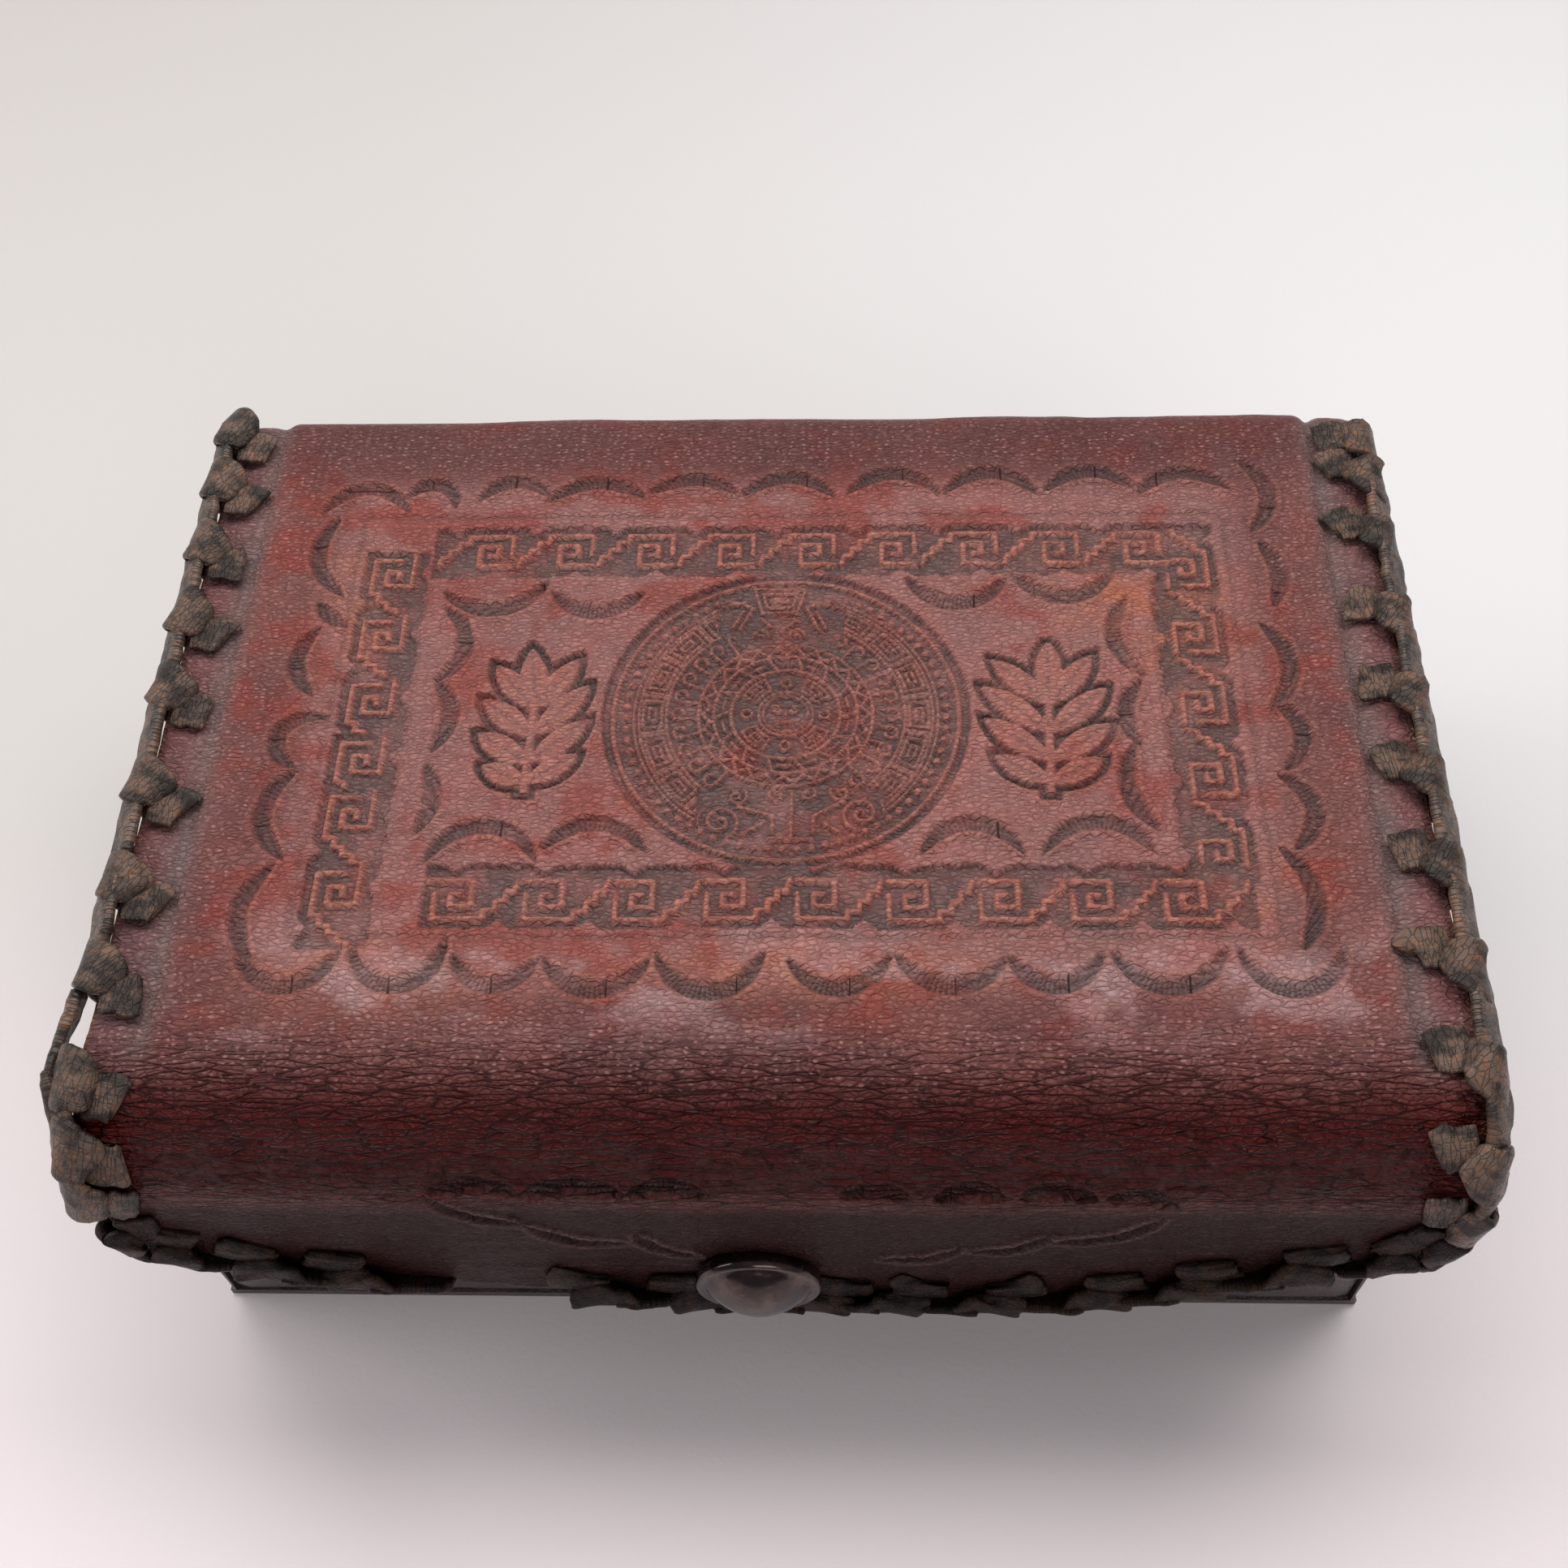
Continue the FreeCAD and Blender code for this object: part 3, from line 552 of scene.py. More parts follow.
CRESCENTS = [
    # back row
    ((-69.5, 37), (-58, 41), (-63, 43)), ((-57, 40), (-49, 40), (-52, 43.8)),
    ((-46, 41), (-35, 40), (-41, 44.3)), ((-34.5, 41), (-21, 40.2), (-28.5, 44)),
    ((-20.8, 41), (-7, 41), (-14, 44.7)), ((-6.5, 41), (7.5, 40), (0.5, 45.2)),
    ((8.8, 40.6), (23, 40.5), (16, 45.6)), ((23.2, 40.6), (37.5, 40.5), (30.5, 45.8)),
    ((38, 40.8), (52, 41), (45, 45.9)), ((52, 41), (66, 41), (58.5, 45.3)),
    # right side
    ((67.3, 47), (68.5, 33), (72.2, 40)), ((68.8, 31), (69.5, 18.5), (72, 25)),
    ((67, 16), (68, 1), (71.5, 8)), ((67.6, 1.95), (67.2, -10), (71.7, -4)),
    ((67.2, -10.5), (67, -22.5), (71.5, -16)), ((67, -23), (66.5, -37), (70, -29)),
    # left side
    ((-66.5, 36.5), (-65, 21.5), (-69.7, 28)), ((-67.5, 20), (-62.5, 15.5), (-66, 16.5)),
    ((-67, 15), (-65.5, 3), (-69.8, 9)), ((-67, 0), (-65.5, -9.5), (-70, -3)),
    ((-66, -10), (-65, -24), (-70, -17)), ((-66, -24.5), (-68, -38.5), (-70.5, -32)),
    # front row
    ((-68.5, -38.5), (-55, -38), (-61, -43.8)), ((-54, -36.8), (-41.5, -38.5), (-47, -43.8)),
    ((-41, -38), (-29.5, -38.5), (-35.5, -43.7)), ((-29.5, -38.5), (-15.5, -39), (-22.5, -44.3)),
    ((-15, -39), (-1, -37.5), (-8, -44.5)), ((2, -40), (15, -38), (8.5, -43.8)),
    ((15.5, -39), (29.5, -38.5), (22, -43.5)), ((29.8, -40), (41.5, -37.5), (35.5, -43.3)),
    ((42.5, -38.5), (57, -36.5), (50, -43.5)), ((58, -37), (71.5, -38), (65, -43.8)),
    # inside the frets
    ((-49.5, 22), (-34, 24), (-41, 17.5)), ((-33.5, 21.5), (-20, 21.5), (-27, 16.8)),
    ((17.5, 23.5), (32, 24), (24.5, 18.3)), ((33, 24), (47.5, 25.5), (40, 19.3)),
    ((-48.8, 19.2), (-46.5, 6.5), (-43.8, 12.5)), ((-48.5, 6.2), (-47.5, -6.5), (-44.5, 0)),
    ((-48, -8), (-48, -20), (-45.2, -14)), ((47.5, 19.5), (50, 6), (45.3, 13)),
    ((49.5, 5.5), (48.5, -6), (45.8, 0)), ((46.5, -7), (50, -19.5), (45.3, -13)),
    ((-46.5, -24.5), (-31.5, -23), (-39, -17.5)), ((-30, -20), (-17, -22.5), (-24, -17)),
    ((18.5, -23), (32.5, -23), (25.5, -17)), ((34.5, -22.5), (49.5, -23), (42, -16.8)),
    # lozenge on the flap
    ((-43, -70.6), (-31, -70.6), (-37, -68.0)), ((-31, -70.6), (-18, -70.6), (-25, -67.8)),
    ((-18, -70.6), (-8, -70.4), (-13, -68.0)), ((8, -70.4), (17, -70.4), (12.5, -68.0)),
    ((20, -70.4), (28.5, -70.6), (24, -68.0)), ((30, -70.6), (40, -71), (35, -68.2)),
    ((40.5, -71), (50, -73), (46, -69.2)),
    ((-43, -72), (-32, -79), (-39.3, -77.8)), ((-32, -79.5), (-18, -86), (-26.5, -85.9)),
    ((-18, -82.5), (-9.5, -90), (-16, -88.6)), ((48.5, -76), (35, -83.5), (43.3, -83.2)),
    ((35, -81.5), (25, -87), (31.5, -87)), ((24, -86), (13, -90), (19.5, -91)),
]


def leaflets(stem, pairs, top):
    """Leaflets in pairs up a stem, as (foot, tip, half-width)."""
    out = [(stem(top[0]), top[1], top[2])]
    for share, left, right, half in pairs:
        out.append((stem(share), left, half))
        out.append((stem(share), right, half))
    return out


def tool(u, v):
    """The whole of the hide's tooling at the points of a sheet."""
    t = Tooling(u, v)
    for a, b, apex in CRESCENTS:
        t.crescent(a, b, apex)
    for x in (-62.5, 64.0):
        t.groove((x, -35), (x, 36.3), 0.42, 0.22, 0.35)
    t.groove((-62.5, 36.3), (64, 36.3), 0.42, 0.22, 0.35)
    t.groove((-62.5, -35.6), (64, -35.2), 0.42, 0.22, 0.35)
    t.groove((-51.6, -24), (-51.6, 24.5), 0.4, 0.2, 0.3)
    t.groove((52.4, -24), (52.4, 24.5), 0.4, 0.2, 0.3)
    t.frets([(-54.3, y) for y in (17.5, 6.0, -5.5, -15.5, -24.5, -36.5)], 90)
    t.frets([(55, 33.5 - 12.1 * i) for i in range(5)], -90)
    t.frets([(60.5 - 11.75 * i, -26.9) for i in range(9)], 180)
    t.frets([(-50.8 + 11.8 * i, 27.2) for i in range(9)], 0)
    t.medallion()

    def left_stem(s):
        return (-34.2 + 1.2 * s - 1.2 * s * s, -13.4 + 19.0 * s)

    def right_stem(s):
        return (36.2 + 1.6 * s - 1.0 * s * s, -13.4 + 19.5 * s)

    t.sprig(left_stem(0), left_stem(1), leaflets(left_stem, [
        (0.74, (-40.2, 8.6), (-28.4, 9.8), 1.85), (0.50, (-41.4, 2.6), (-26.6, 5.0), 1.95),
        (0.26, (-41.6, -3.2), (-26.4, -1.0), 1.95), (0.08, (-40.4, -8.6), (-27.4, -6.8), 1.75),
    ], (0.80, (-35.4, 11.6), 1.9)))
    t.sprig(right_stem(0), right_stem(1), leaflets(right_stem, [
        (0.74, (29.2, 9.4), (43.2, 10.0), 1.85), (0.50, (27.6, 4.6), (44.8, 4.2), 1.95),
        (0.26, (27.8, -1.0), (45.0, -2.0), 1.95), (0.08, (29.0, -7.2), (43.6, -7.8), 1.75),
    ], (0.80, (37.2, 12.6), 1.9)))
    for a, b in (((47, -74.5), (9, -75.6)), ((-42, -72), (-9, -76.6)),
                 ((9, -75.6), (12, -88)), ((-9, -76.6), (-10, -88))):
        t.groove(a, b, 0.3, 0.12, 0.3)
    return t


def leather_shape(u, v):
    """The hide's own shape without tooling: margins, gutters, creases and softness."""
    on_top = ramp(v, -56, -48)
    gutter = 0.75 * bump(u + 78.3, 1.0) + 0.75 * bump(u - 78.8, 1.0)
    margin = ramp(np.abs(u), 78.0, 79.6)
    puckers = 0.20 * noise(u * 0.9, v * 0.42, 41) * ramp(np.abs(u), 79.0, 81.0)
    h = -on_top * (gutter + 0.55 * margin) + puckers
    h += 0.28 * noise(u / 17, v / 15, 42) + 0.07 * noise(u / 4.2, v / 4.0, 43)
    bend = ramp(v, DROP_V - 6, DROP_V + 3) * (1 - ramp(v, -49, -43))
    wander = v + 0.9 * noise(u / 9.0, v / 3.0, 44)
    wrinkles = 1 - np.abs(noise(u / 6.5, wander / 1.15, 45)) * 2
    fine = 1 - np.abs(noise(u / 2.6, wander / 0.62, 46)) * 2
    h += bend * (0.10 * wrinkles + 0.05 * fine)
    apron = 1 - ramp(v, DROP_V - 4, DROP_V + 2)
    away = np.hypot(u - SNAP[0], v - (Z_TO_V + SNAP[1]))
    stretch = bump(np.sin(np.arctan2(u - SNAP[0], v + 95) * 9) * 1.2, 0.35)
    folds = 1 - np.abs(noise(u / 8, v / 1.5, 47)) * 2
    h += apron * (0.10 * folds - 0.10 * stretch * ramp(30 - away, 0, 18))
    h -= 0.35 * ramp(np.abs(u), 83.4, 85.6)
    return h


RED = np.array((0.215, 0.088, 0.078))
DEEP = (0.066, 0.0030, 0.0022)
DUSKY = (0.105, 0.045, 0.047)
DYED = (0.100, 0.077, 0.073)
RAISED = (0.42, 0.165, 0.120)
WORN = (0.48, 0.150, 0.055)
GREYED = (0.195, 0.140, 0.132)

# Orange wear on the lid, (u, v, half-width, half-depth, strength).
WEAR_SPOTS = [
    (47, 20, 9, 6, 1), (57, 14, 7, 9, 1), (5, -40, 22, 4.5, 1), (-60, 22, 5, 12, 0.8),
    (-52, -41, 14, 5, 0.7), (60, -30, 9, 7, 0.6),
]


def leather_colour(u, v, t):
    """Base colour of the hide by place: dye in the tooling, wear on its high spots, and painted sheen and
    highlights.
    """
    c = np.ones(u.shape + (3,)) * RED
    c = mix(c, DUSKY, 0.50 + 0.5 * noise(u / 21, v / 17, 51) - 0.25 * noise(u / 6, v / 6, 52) - 0.35)
    # Painted sheen: the tooled panel is made paler pink, standing in for the broad reflection across the
    # top.
    inside = ramp(70 - np.abs(u), 0, 8) * ramp(46 - np.abs(v), 0, 6)
    c = mix(c, (0.380, 0.185, 0.168), 0.65 * inside)
    spots = sum(share * bump(np.hypot((u - x) / half_u, (v - y) / half_v), 1)
                for x, y, half_u, half_v, share in WEAR_SPOTS)
    spots = spots * (0.55 + 0.6 * noise(u / 3.1, v / 2.6, 53))
    c = mix(c, WORN, 0.52 * spots)
    flushed = noise(u / 9 + 0.6 * noise(u / 5, v / 5, 61), v / 7, 59) + 0.5 * noise(u / 2.5, v / 2.2, 60)
    flushed = ramp(flushed, -0.15, 0.85) * ramp(v, -52, -44)
    c = mix(c, (0.27, 0.050, 0.036), 0.60 * flushed)
    # Painted highlight: paler mauve patches along the top of the bolster stand in for its reflection.
    patches = noise(u / 13, v / 5, 57) + 0.3 * noise(u / 2, v / 1.2, 58)
    shine = bump((v + 42) / 7, 1) * ramp(patches, -0.15, 0.55)
    c = mix(c, (0.46, 0.30, 0.295), 0.62 * shine)
    # Raised lines paler where rubbed, and a painted highlight on the rims of the stamps.
    c = mix(c, RAISED, 0.75 * t.line + 0.35 * t.lip)
    bolster = ramp(v, DROP_V - 1, DROP_V + 6) * (1 - ramp(v, -61, -49.5))
    c = mix(c, DEEP, 0.97 * bolster)
    flap = 1 - ramp(v, DROP_V - 2, DROP_V + 4)
    c = mix(c, (0.022, 0.0055, 0.0045), 0.95 * flap)
    c = mix(c, (0.100, 0.040, 0.038), 0.6 * ramp(v, 38, 50))
    gutter = bump(u + 78.6, 1.95) + bump(u - 79.0, 1.95)
    margin = ramp(np.abs(u), 79.0, 80.5)
    on_top = ramp(v, -57, -50)
    c = mix(c, (0.205, 0.105, 0.108), 0.7 * margin * on_top)
    c = mix(c, GREYED, np.clip(0.9 * gutter * on_top, 0, 1))
    rubbed = 0.80 + 0.55 * noise(u / 4.5, v / 3.5, 54) + 0.25 * noise(u / 1.1, v / 1.1, 55)
    rubbed = np.clip(rubbed, 0.25, 1)
    dye = mix(np.ones_like(c) * DYED, (0.050, 0.034, 0.031), flap)
    c = mix(c, dye, 0.92 * t.dye * rubbed)
    # Painted highlight on the rims of the stamps on the flap.
    c = mix(c, (0.150, 0.090, 0.086), flap * np.clip(0.9 * t.lip, 0, 1))
    c = mix(c, (0.20, 0.10, 0.05), ramp(np.abs(u), 84.7, 85.3) * 0.6)
    return np.clip(c, 0.001, 1)


# ---- materials -------------------------------------------------------------------------------

class Shader:
    """A node material with short calls for its nodes."""

    def __init__(self, name, **settings):
        self.material = bpy.data.materials.new(name)
        self.material.use_nodes = True
        self.tree = self.material.node_tree
        self.bsdf = self.tree.nodes["Principled BSDF"]
        for key, value in settings.items():
            self.bsdf.inputs[key.replace("_", " ")].default_value = value

    def node(self, kind, inputs=None, **settings):
        made = self.tree.nodes.new(kind)
        for key, value in settings.items():
            setattr(made, key, value)
        for key, value in (inputs or {}).items():
            self.put(made.inputs[key], value)
        return made

    def put(self, socket, value):
        if isinstance(value, bpy.types.NodeSocket):
            self.tree.links.new(value, socket)
        else:
            socket.default_value = value

    def attribute(self, name):
        return self.node("ShaderNodeAttribute", attribute_name=name, attribute_type="GEOMETRY")

    def math(self, operation, a, b=0.0, c=0.0, clamp=False):
        made = self.node("ShaderNodeMath", {0: a, 1: b, 2: c}, operation=operation, use_clamp=clamp)
        return made.outputs[0]

    def times(self, a, b):
        return self.math("MULTIPLY", a, b)

    def plus(self, a, b):
        return self.math("ADD", a, b)

    def less(self, a, b):
        return self.math("SUBTRACT", a, b)

    def tinted(self, colour, tint):
        return self.mix(1.0, colour, tint, "MULTIPLY")

    def vectors(self, operation, a, b):
        return self.node("ShaderNodeVectorMath", {0: a, 1: b}, operation=operation).outputs[0]

    def scaled(self, vector, scale):
        return self.vectors("MULTIPLY", vector, scale)

    def noise(self, vector, scale, detail=3.0, rough=0.55):
        inputs = {"Vector": vector, "Scale": scale, "Detail": detail, "Roughness": rough}
        return self.node("ShaderNodeTexNoise", inputs).outputs["Fac"]

    def cells(self, vector, scale, feature="DISTANCE_TO_EDGE", random=1.0):
        inputs = {"Vector": vector, "Scale": scale, "Randomness": random}
        return self.node("ShaderNodeTexVoronoi", inputs, feature=feature).outputs["Distance"]

    def ramp(self, value, low, high, start=0.0, end=1.0):
        inputs = {"Value": value, "From Min": low, "From Max": high, "To Min": start, "To Max": end}
        return self.node("ShaderNodeMapRange", inputs, interpolation_type="SMOOTHSTEP").outputs[0]

    def mix(self, factor, a, b, blend="MIX"):
        made = self.node("ShaderNodeMix", data_type="RGBA", blend_type=blend)
        self.put(made.inputs[0], factor)
        self.put(made.inputs[6], a)
        self.put(made.inputs[7], b)
        return made.outputs[2]

    def bump(self, height, distance, strength=1.0, normal=None):
        inputs = {"Height": height, "Distance": distance * MM, "Strength": strength}
        if normal is not None:
            inputs["Normal"] = normal
        return self.node("ShaderNodeBump", inputs).outputs[0]

    def surface(self, colour, rough, normal):
        self.put(self.bsdf.inputs["Base Color"], colour)
        self.put(self.bsdf.inputs["Roughness"], rough)
        self.put(self.bsdf.inputs["Normal"], normal)
        return self.material


def rgba(colour):
    return (*colour, 1.0)


def hide_leather():
    """Tooled hide: grain in small cells with painted glints, pores in rows with pale dashes, cracks where
    it bends, hatching in stamps.
    """
    s = Shader("tooled_leather", Specular_IOR_Level=0.13)
    sheet = s.attribute("sheet").outputs["Vector"]
    tint = s.attribute("tint").outputs["Color"]
    dye = s.attribute("dye").outputs["Fac"]
    crease = s.attribute("crease").outputs["Fac"]
    hatch = s.attribute("hatch").outputs["Fac"]
    margin = s.attribute("margin").outputs["Fac"]
    flat = s.scaled(sheet, (1, 1, 0))
    warp = s.node("ShaderNodeTexNoise", {"Vector": flat, "Scale": 0.35, "Detail": 2.0}).outputs["Color"]
    warped = s.vectors("ADD", flat, s.scaled(warp, (1.6, 0.7, 0)))
    pebble = s.ramp(s.cells(s.scaled(warped, (0.80, 1.55, 1)), 1.0), 0.0, 0.20)
    cracks = s.ramp(s.cells(s.scaled(warped, (0.16, 1.05, 1)), 1.0), 0.0, 0.10)
    fine = s.noise(warped, 3.2, 4.0, 0.62)
    pores = s.cells(s.scaled(warped, (0.78, 1.30, 1)), 1.0, "F1", 0.45)
    pore = s.ramp(pores, 0.14, 0.30, 1.0, 0.0)
    broad = s.noise(flat, 0.11, 3.0)
    mottle = s.noise(flat, 0.75, 5.0, 0.65)
    teeth = s.math("SINE", s.times(hatch, 2 * math.pi / TOOTH_PITCH))
    teeth = s.times(s.math("MULTIPLY_ADD", teeth, 0.5, 0.5), s.attribute("teeth").outputs["Fac"])

    colour = s.mix(s.ramp(mottle, 0.35, 0.72, 0.0, 0.55), tint, s.tinted(tint, (0.62, 0.52, 0.56, 1)))
    colour = s.mix(s.ramp(broad, 0.42, 0.62, 0.0, 0.35), colour, s.tinted(colour, (1.25, 0.92, 0.86, 1)))
    groove = s.less(1.0, cracks)
    darker = s.tinted(colour, (0.30, 0.26, 0.28, 1))
    colour = s.mix(s.times(groove, s.times(crease, 0.95)), colour, darker)
    joint = s.times(s.less(1.0, pebble), s.math("MULTIPLY_ADD", crease, 0.25, 0.22))
    colour = s.mix(joint, colour, darker)
    # Painted glints: paler, bluer tops of the grain cells stand in for highlights, weaker where it creases.
    glint = s.times(s.ramp(fine, 0.50, 0.68), s.times(pebble, s.less(0.50, s.times(crease, 0.38))))
    colour = s.mix(glint, colour, s.tinted(colour, (1.75, 2.1, 2.15, 1)))
    colour = s.mix(s.times(teeth, 0.45), colour, darker)
    # Pale dashes at the pores on the margins: partly wax in the pores, partly a painted sheen on their
    # edges.
    pore_wax_and_sheen = s.times(pore, s.times(margin, 0.6))
    colour = s.mix(pore_wax_and_sheen, colour, (0.42, 0.22, 0.205, 1))
    specks = s.ramp(s.noise(flat, 1.9, 2.0, 0.8), 0.765, 0.82)
    colour = s.mix(s.times(specks, s.math("MULTIPLY_ADD", dye, 0.42, 0.07)), colour, (0.50, 0.40, 0.30, 1))

    rough = s.plus(s.ramp(mottle, 0.3, 0.75, 0.26, 0.46), s.times(dye, 0.06))
    rough = s.less(rough, s.times(crease, 0.15))
    height = s.times(pebble, 0.16)
    height = s.plus(height, s.times(fine, 0.16))
    height = s.less(height, s.times(pore, 0.055))
    height = s.less(height, s.times(s.times(groove, crease), 0.30))
    height = s.less(height, s.times(teeth, 0.14))
    return s.surface(colour, rough, s.bump(height, 1.0))


def plain_leather(name, tone, dark, rough=(0.4, 0.6), grain=0.05, **settings):
    """Untooled leather with a fine pebbled grain and rubbed patches."""
    s = Shader(name, **settings)
    at = s.attribute("sheet").outputs["Vector"]
    pebble = s.ramp(s.cells(s.scaled(at, (1.1, 1.3, 1.2)), 1.0), 0.0, 0.18)
    fine = s.noise(at, 2.6, 4.0, 0.6)
    patch = s.noise(at, 0.16, 4.0, 0.6)
    colour = s.mix(s.ramp(patch, 0.35, 0.68), rgba(dark), rgba(tone))
    colour = s.mix(s.times(s.less(1.0, pebble), 0.5), colour, s.tinted(colour, (0.4, 0.4, 0.4, 1)))
    height = s.plus(s.times(pebble, grain), s.times(fine, grain * 0.8))
    return s.surface(colour, s.ramp(patch, 0.3, 0.7, rough[0], rough[1]), s.bump(height, 1.0))


def lace_leather(name, dark, light, shine):
    """Waxed flat lace: long fibres, crosswise crazing where it bends, orange where worn."""
    s = Shader(name, Specular_IOR_Level=shine)
    at = s.attribute("sheet").outputs["Vector"]
    fibre = s.noise(s.scaled(at, (0.5, 3.6, 1.0)), 1.0, 4.0, 0.65)
    craze = s.ramp(s.cells(s.scaled(at, (1.7, 0.55, 1.0)), 1.0), 0.0, 0.09)
    patch = s.noise(s.scaled(at, (0.22, 0.35, 1.0)), 1.0, 3.0, 0.6)
    fleck = s.noise(s.scaled(at, (1.1, 1.5, 1.0)), 1.0, 4.0, 0.7)
    colour = s.mix(s.ramp(patch, 0.35, 0.65), rgba(dark), rgba(light))
    colour = s.mix(s.ramp(fibre, 0.5, 0.72, 0.0, 0.5), colour, s.tinted(colour, (1.7, 1.55, 1.45, 1)))
    worn = s.times(s.ramp(fleck, 0.50, 0.64), s.ramp(patch, 0.42, 0.60, 0.0, 0.8))
    colour = s.mix(worn, colour, s.tinted(rgba(light), (1.9, 1.2, 0.7, 1)))
    colour = s.mix(s.times(s.less(1.0, craze), 0.45), colour, (0.008, 0.006, 0.005, 1))
    height = s.math("MULTIPLY_ADD", fibre, 0.26, s.times(craze, 0.10))
    return s.surface(colour, s.ramp(fleck, 0.3, 0.7, 0.20, 0.44), s.bump(height, 1.0))


def bronze():
    """Dark bronzed metal, rubbed brighter in places and finely scratched."""
    s = Shader("dark_bronze", Metallic=0.85, Coat_Weight=0.5, Coat_Roughness=0.08)
    at = s.node("ShaderNodeTexCoord").outputs["Object"]
    patch = s.noise(at, 260.0, 4.0, 0.6)
    scratch = s.noise(s.scaled(at, (900, 300, 2400)), 1.0, 3.0, 0.7)
    pits = s.ramp(s.cells(at, 900.0, "F1"), 0.05, 0.30)
    colour = s.mix(s.ramp(patch, 0.40, 0.66), (0.026, 0.015, 0.012, 1), (0.085, 0.052, 0.040, 1))
    colour = s.mix(s.ramp(scratch, 0.62, 0.78, 0.0, 0.5), colour, (0.22, 0.15, 0.11, 1))
    height = s.plus(s.times(pits, 0.012), s.times(scratch, 0.02))
    return s.surface(colour, s.ramp(patch, 0.3, 0.75, 0.16, 0.36), s.bump(height, 1.0))


def velvet(name):
    """Short velvet nap, brushed in patches."""
    s = Shader(name, Sheen_Weight=0.8, Sheen_Roughness=0.35, Sheen_Tint=(0.9, 0.35, 0.35, 1.0),
               Specular_IOR_Level=0.15)
    at = s.attribute("sheet").outputs["Vector"]
    brush = s.noise(at, 0.09, 3.0, 0.55)
    nap = s.noise(at, 5.0, 3.0, 0.7)
    weave = s.cells(at, 2.2, "F1")
    colour = s.mix(s.ramp(brush, 0.38, 0.62), (0.085, 0.008, 0.012, 1), (0.17, 0.018, 0.024, 1))
    colour = s.mix(s.ramp(nap, 0.35, 0.7, 0.0, 0.5), colour, (0.045, 0.004, 0.006, 1))
    height = s.plus(s.times(nap, 0.12), s.times(weave, 0.06))
    return s.surface(colour, s.ramp(brush, 0.3, 0.7, 0.75, 0.95), s.bump(height, 1.0))


def pressed_board():
    """Grey-brown pressed board with pulp flecks."""
    s = Shader("pressed_board", Specular_IOR_Level=0.2)
    at = s.scaled(s.node("ShaderNodeTexCoord").outputs["Object"], (1000, 1000, 1000))
    pulp = s.noise(at, 1.4, 5.0, 0.7)
    fleck = s.ramp(s.noise(s.scaled(at, (2.0, 0.5, 2.0)), 1.0, 2.0), 0.66, 0.74)
    colour = s.mix(s.ramp(pulp, 0.3, 0.7), (0.22, 0.165, 0.115, 1), (0.34, 0.27, 0.20, 1))
    colour = s.mix(fleck, colour, (0.12, 0.085, 0.06, 1))
    return s.surface(colour, s.ramp(pulp, 0.3, 0.7, 0.75, 0.95), s.bump(pulp, 0.12))


def backdrop():
    """Pale card, pinker in front of the case, greyer behind it and darkest behind on the left; the grading
    of its brightness is painted light and shade.
    """
    s = Shader("pale_backdrop", Specular_IOR_Level=0.3)
    at = s.node("ShaderNodeTexCoord").outputs["Object"]
    cloud = s.noise(at, 2.2, 2.0)
    grain = s.noise(at, 900.0, 2.0)
    # Painted light and shade: paler in front of the case, darker behind it and darkest behind on the left.
    front = s.mix(s.ramp(cloud, 0.3, 0.7), (0.84, 0.74, 0.76, 1), (0.88, 0.79, 0.80, 1))
    place_at = s.node("ShaderNodeSeparateXYZ", {0: at})
    depth = place_at.outputs[1]
    back = s.mix(s.ramp(place_at.outputs[0], -0.22, 0.22), (0.575, 0.545, 0.520, 1), (0.72, 0.71, 0.71, 1))
    back = s.mix(s.ramp(cloud, 0.3, 0.7, 0.0, 0.5), back, s.tinted(back, (1.05, 1.05, 1.06, 1)))
    back = s.mix(s.ramp(depth, 0.10, 0.40), back, s.tinted(back, (0.84, 0.83, 0.84, 1)))
    colour = s.mix(s.ramp(depth, -0.10, 0.06), front, back)
    return s.surface(colour, s.ramp(cloud, 0.3, 0.7, 0.5, 0.6), s.bump(grain, 0.05))


HIDE_LEATHER = hide_leather()
BASE_LEATHER = plain_leather(
    "base_leather", (0.100, 0.066, 0.064), (0.048, 0.031, 0.030), (0.34, 0.52), 0.07, Coat_Weight=0.12,
    Coat_Roughness=0.3)
INNER_LEATHER = plain_leather("inner_leather", (0.17, 0.075, 0.040), (0.10, 0.040, 0.022), (0.5, 0.7), 0.03)
LACE = lace_leather("lace_leather", (0.024, 0.0155, 0.012), (0.135, 0.086, 0.064), 0.34)
# Painted shade: the lacing round the lip gets a darker, duller copy of the lace leather.
SHADED_LIP_LACE = lace_leather("lip_lace_shaded_leather", (0.007, 0.0045, 0.0036), (0.030, 0.017, 0.012), 0.10)
BRONZE = bronze()
VELVET = velvet("lining_velvet")
PAD_VELVET = velvet("pad_velvet")
BOARD = pressed_board()


# ---- hide ------------------------------------------------------------------------------------

def runs(*parts):
    """Values through stretches given as (start, end, number of steps)."""
    out = [np.linspace(a, b, n, endpoint=False) for a, b, n in parts]
    return np.concatenate(out + [[parts[-1][1]]])


def edge_z(x):
    """Height of the flap's leather edge at x."""
    edge = curve_through(FLAP_EDGE, 12)
    torn = 1.2 * ramp(8 - np.abs(x + 42), 0, 5) * (0.5 + 0.5 * noise(x * 0.7, 0 * x, 61))
    return np.interp(x, edge[::-1, 0], edge[::-1, 1]) + torn


COLUMNS = runs((-85.5, -72, 28), (-72, -25, 156), (-25, 26.4, 258), (26.4, 75, 162), (75, 85.5, 20))


